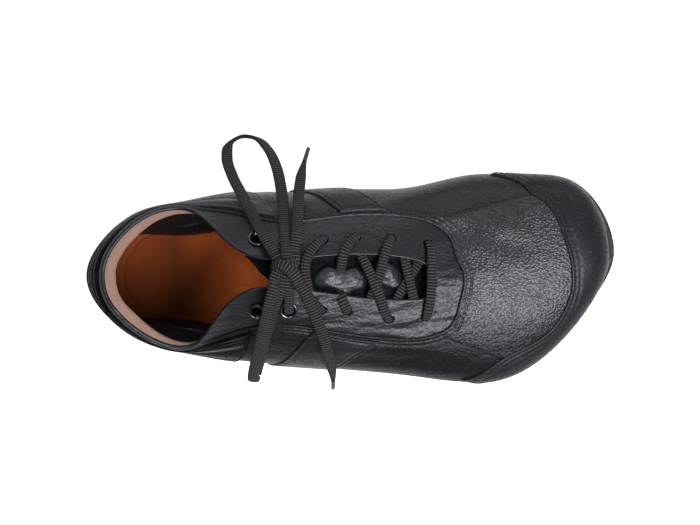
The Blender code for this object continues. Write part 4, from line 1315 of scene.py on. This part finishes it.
def makeAglet(side):
    line = smoothLine(fromHeel(freeLace["aglet" + side]), aglet["grid"][0] + 1)
    along = direction(np.gradient(line, axis=0))
    sideways = direction(np.cross(along, np.array([0.0, 0.0, 1.0])))
    rise = np.cross(along, sideways)

    def place(u, v):
        at = np.rint(u * aglet["grid"][0]).astype(int)
        radius = (aglet["radius"] * np.interp(u, *aglet["profile"]))[:, None]
        angle = (2 * math.pi * v)[:, None]
        return line[at] + sideways[at] * radius * np.cos(angle) + rise[at] * radius * np.sin(angle)

    piece = gridPiece(
        "aglet" + side + "Tip", aglet["grid"], place, "aglet", True)
    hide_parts("aglet_" + side.lower())
    return piece


# Strands from hole to hole: x, y and height over the shoe's top, in millimetres.
strands = {
    "frontBar": (
        (181.5, 13.2, -3.5), (181.5, 11.8, 0.4), (182.3, 9.0, 1.8), (182.4, 0.0, 1.7), (182.1, -8.0, 1.7),
        (181.0, -18.0, 1.8), (179.3, -25.4, 1.6), (178.6, -27.4, -0.2), (178.4, -28.4, -3.5)),
    "underFromMedial": (
        (178.6, 9.0, -2.6), (177.7, 5.7, -2.8), (170.4, -5.7, -3.0), (163.6, -17.2, -2.8),
        (162.6, -20.0, -2.6)),
    "underFromLateral": (
        (173.6, -20.0, -2.2), (172.6, -17.0, -1.9), (170.4, -5.7, -1.1), (168.2, 5.6, -1.9),
        (167.4, 9.0, -2.4)),
    "fifthMedial": (
        (162.6, 17.2, -3.5), (162.1, 15.8, 0.5), (160.4, 12.6, 2.0), (157.8, 5.4, 1.8),
        (155.8, -1.5, 1.4),
        (152.8, -9.3, 0.8), (150.6, -14.0, -0.8), (148.7, -18.0, -3.2)),
    "fifthLateral": (
        (159.4, -28.6, -3.5), (159.0, -27.0, 0.5), (157.3, -23.4, 1.9), (154.9, -15.0, 2.0),
        (152.6, -8.6, 2.9),
        (150.2, -2.5, 2.3), (147.6, 3.6, 0.9), (145.8, 7.6, -1.2), (144.8, 11.0, -3.2)),
    "fourthMedial": (
        (144.6, 18.8, -3.5), (143.8, 17.2, 0.5), (141.4, 15.0, 1.9), (138.2, 11.2, 1.9),
        (136.7, 7.6, 1.1),
        (135.8, 3.6, -0.6), (135.0, 0.0, -2.8), (134.2, -3.0, -5.5)),
    "fourthLateral": (
        (138.0, -23.2, -3.5), (137.4, -21.4, 0.5), (136.6, -19.0, 1.7), (135.6, -16.6, 1.7),
        (134.8, -14.6, 0.6),
        (134.0, -12.8, -2.2), (133.2, -11.2, -5.2), (132.6, -9.6, -8.0)),
    "thirdMedial": (
        (127.6, 18.0, -3.5), (126.7, 16.6, 0.5), (123.6, 14.4, 1.9), (119.6, 10.2, 1.9),
        (117.2, 5.0, 1.6),
        (116.6, -1.0, 1.3), (117.2, -6.0, 0.8), (118.2, -11.0, -0.9), (119.0, -15.0, -3.2)),
    "thirdLateral": (
        (124.9, -22.4, -3.5), (124.2, -20.6, 0.5), (121.5, -17.8, 1.9), (117.5, -13.0, 2.2),
        (114.5, -8.0, 2.9),
        (112.5, -3.0, 2.2), (110.8, 2.0, 0.6), (109.6, 6.5, -1.6), (109.0, 9.0, -3.2)),
    "secondMedial": (
        (111.7, 17.0, -3.5), (111.4, 15.3, 0.9), (110.7, 12.6, 2.4), (109.6, 9.4, 4.0),
        (108.6, 6.0, 6.0)),
    "secondLateral": (
        (107.2, -22.2, -3.5), (107.2, -20.4, 0.9), (107.5, -17.2, 2.5), (107.8, -12.5, 3.8),
        (107.8, -7.0, 6.4)),
}
# The knot: strips under the arch, then the arch itself.
knotStrips = {
    "loopUnder": (
        (101.4, 9.6, 82.1), (103.5, 6.2, 83.0), (106.6, 2.0, 83.0), (108.6, -3.0, 81.5),
        (109.0, -7.5, 79.5)),
    "loopAcross": (
        (107.4, 10.7, 82.2), (107.4, 6.5, 83.4), (106.8, 1.0, 84.5), (106.3, -3.5, 84.2),
        (105.6, -8.5, 83.0)),
    "endUnder": (
        (111.2, 9.7, 81.5), (111.2, 6.0, 82.6), (109.8, 1.0, 82.4), (108.0, -6.0, 80.0)),
    "archLeft": (
        (99.6, -7.5, 83.5), (100.8, -3.0, 84.6), (103.0, 1.2, 85.6), (106.4, 3.8, 86.2),
        (109.8, 4.6, 85.3), (112.2, 4.6, 83.5)),
    "archRight": (
        (100.0, 4.0, 83.6), (102.8, 4.6, 86.0), (106.2, 3.6, 87.0), (109.4, 0.8, 86.6),
        (111.8, -3.0, 85.0), (113.6, -6.6, 83.0)),
}


def joinPieces(name, pieces, look):
    bm = bmesh.new()
    for part in pieces:
        bm.from_mesh(part.data)
        bpy.data.objects.remove(part)
    return finishPiece(name, bm, look)


strandTapers = {"under": (1, 1, 1), "over": (0.62, 0.8, 1, 1, 1, 1, 1, 0.95, 0.8)}
crossingPieces = [
    laceStrip(
        strandName, [onTop(*point) for point in strandPoints], lace["strandWidth"],
        strandTapers["under" if strandName.startswith("under") else "over"])[0]
    for strandName, strandPoints in strands.items()]
crossingPiece = joinPieces("laceCrossings", crossingPieces, "lace")
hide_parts("lace_crossings")
knotPieces = [
    laceStrip(stripName, fromHeel(stripPoints), lace["knotWidth"])[0]
    for stripName, stripPoints in knotStrips.items()]
knotPiece = joinPieces("laceKnot", knotPieces, "lace")
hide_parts("lace_knot")
print("lacing ready")

for laceSide in ("Medial", "Lateral"):
    loopPiece, loopLine, loopTotal = laceStrip(
        "laceLoop" + laceSide, fromHeel(freeLace["loop" + laceSide]))
    declareLace(["lace_loop_" + laceSide.lower()])
    agletPiece = makeAglet(laceSide)
    endPiece, endLine, endTotal = laceStrip(
        "laceEnd" + laceSide, fromHeel(freeLace["end" + laceSide]), taper=(1, 1, 1, 1, 0.92, 0.42))
    declareLace(["lace_end_" + laceSide.lower()])
print("free lace ready")


stage = {"floorSize": 3.0, "floorGlow": 0.80, "world": 0.55, "aim": (0, 0, 0.03)}


def makeFloor():
    bm = bmesh.new()
    bmesh.ops.create_grid(bm, x_segments=2, y_segments=2, size=stage["floorSize"])
    floor = meshObject("floor", bm)
    made = Nodes("paleFloor")
    shade = made.blend(made.noise(3.0, 2.0), rgb(colors["floor"]), rgb(colors["floorCloud"]))
    floor.data.materials.append(made.set(
        Base_Color=shade, Roughness=0.9, Specular_IOR_Level=0.1, Emission_Color=(1, 1, 1, 1),
        Emission_Strength=stage["floorGlow"]))


def makeLight(name, place, size, light, color):
    lamp = bpy.data.lights.new(name, "AREA")
    lamp.shape = "RECTANGLE"
    lamp.size, lamp.size_y = size
    lamp.energy = light * math.pi * size[0] * size[1]
    lamp.color = color
    lampObject = link(bpy.data.objects.new(name, lamp))
    turn = (Vector(stage["aim"]) - Vector(place)).to_track_quat("-Z", "Y").to_matrix().to_4x4()
    lampObject.matrix_world = Matrix.Translation(Vector(place)) @ turn


lamps = {
    "key": {"place": (1.12, -0.98, 1.98), "size": (2.1, 1.45), "light": 31.0, "color": (0.97, 0.95, 1.0)},
    "top": {"place": (-0.60, 0.35, 2.60), "size": (0.9, 0.9), "light": 8.0, "color": (1.0, 0.98, 0.96)},
    "toeStrip": {"place": (1.3, 1.5, 0.75), "size": (1.2, 0.5), "light": 9.5, "color": (0.92, 0.97, 1.0)},
    "medialStrip": {"place": (-0.2, 1.7, 1.0), "size": (2.0, 0.6), "light": 8.5, "color": (0.90, 0.97, 1.0)},
}
makeFloor()
for lampName, lamp in lamps.items():
    makeLight(lampName, **lamp)
world = bpy.data.worlds.new("studio")
world.use_nodes = True
world.node_tree.nodes["Background"].inputs["Color"].default_value = (1, 1, 1, 1)
world.node_tree.nodes["Background"].inputs["Strength"].default_value = stage["world"]
bpy.context.scene.world = world
bpy.context.scene.view_settings.view_transform = "Standard"
print("stage ready")
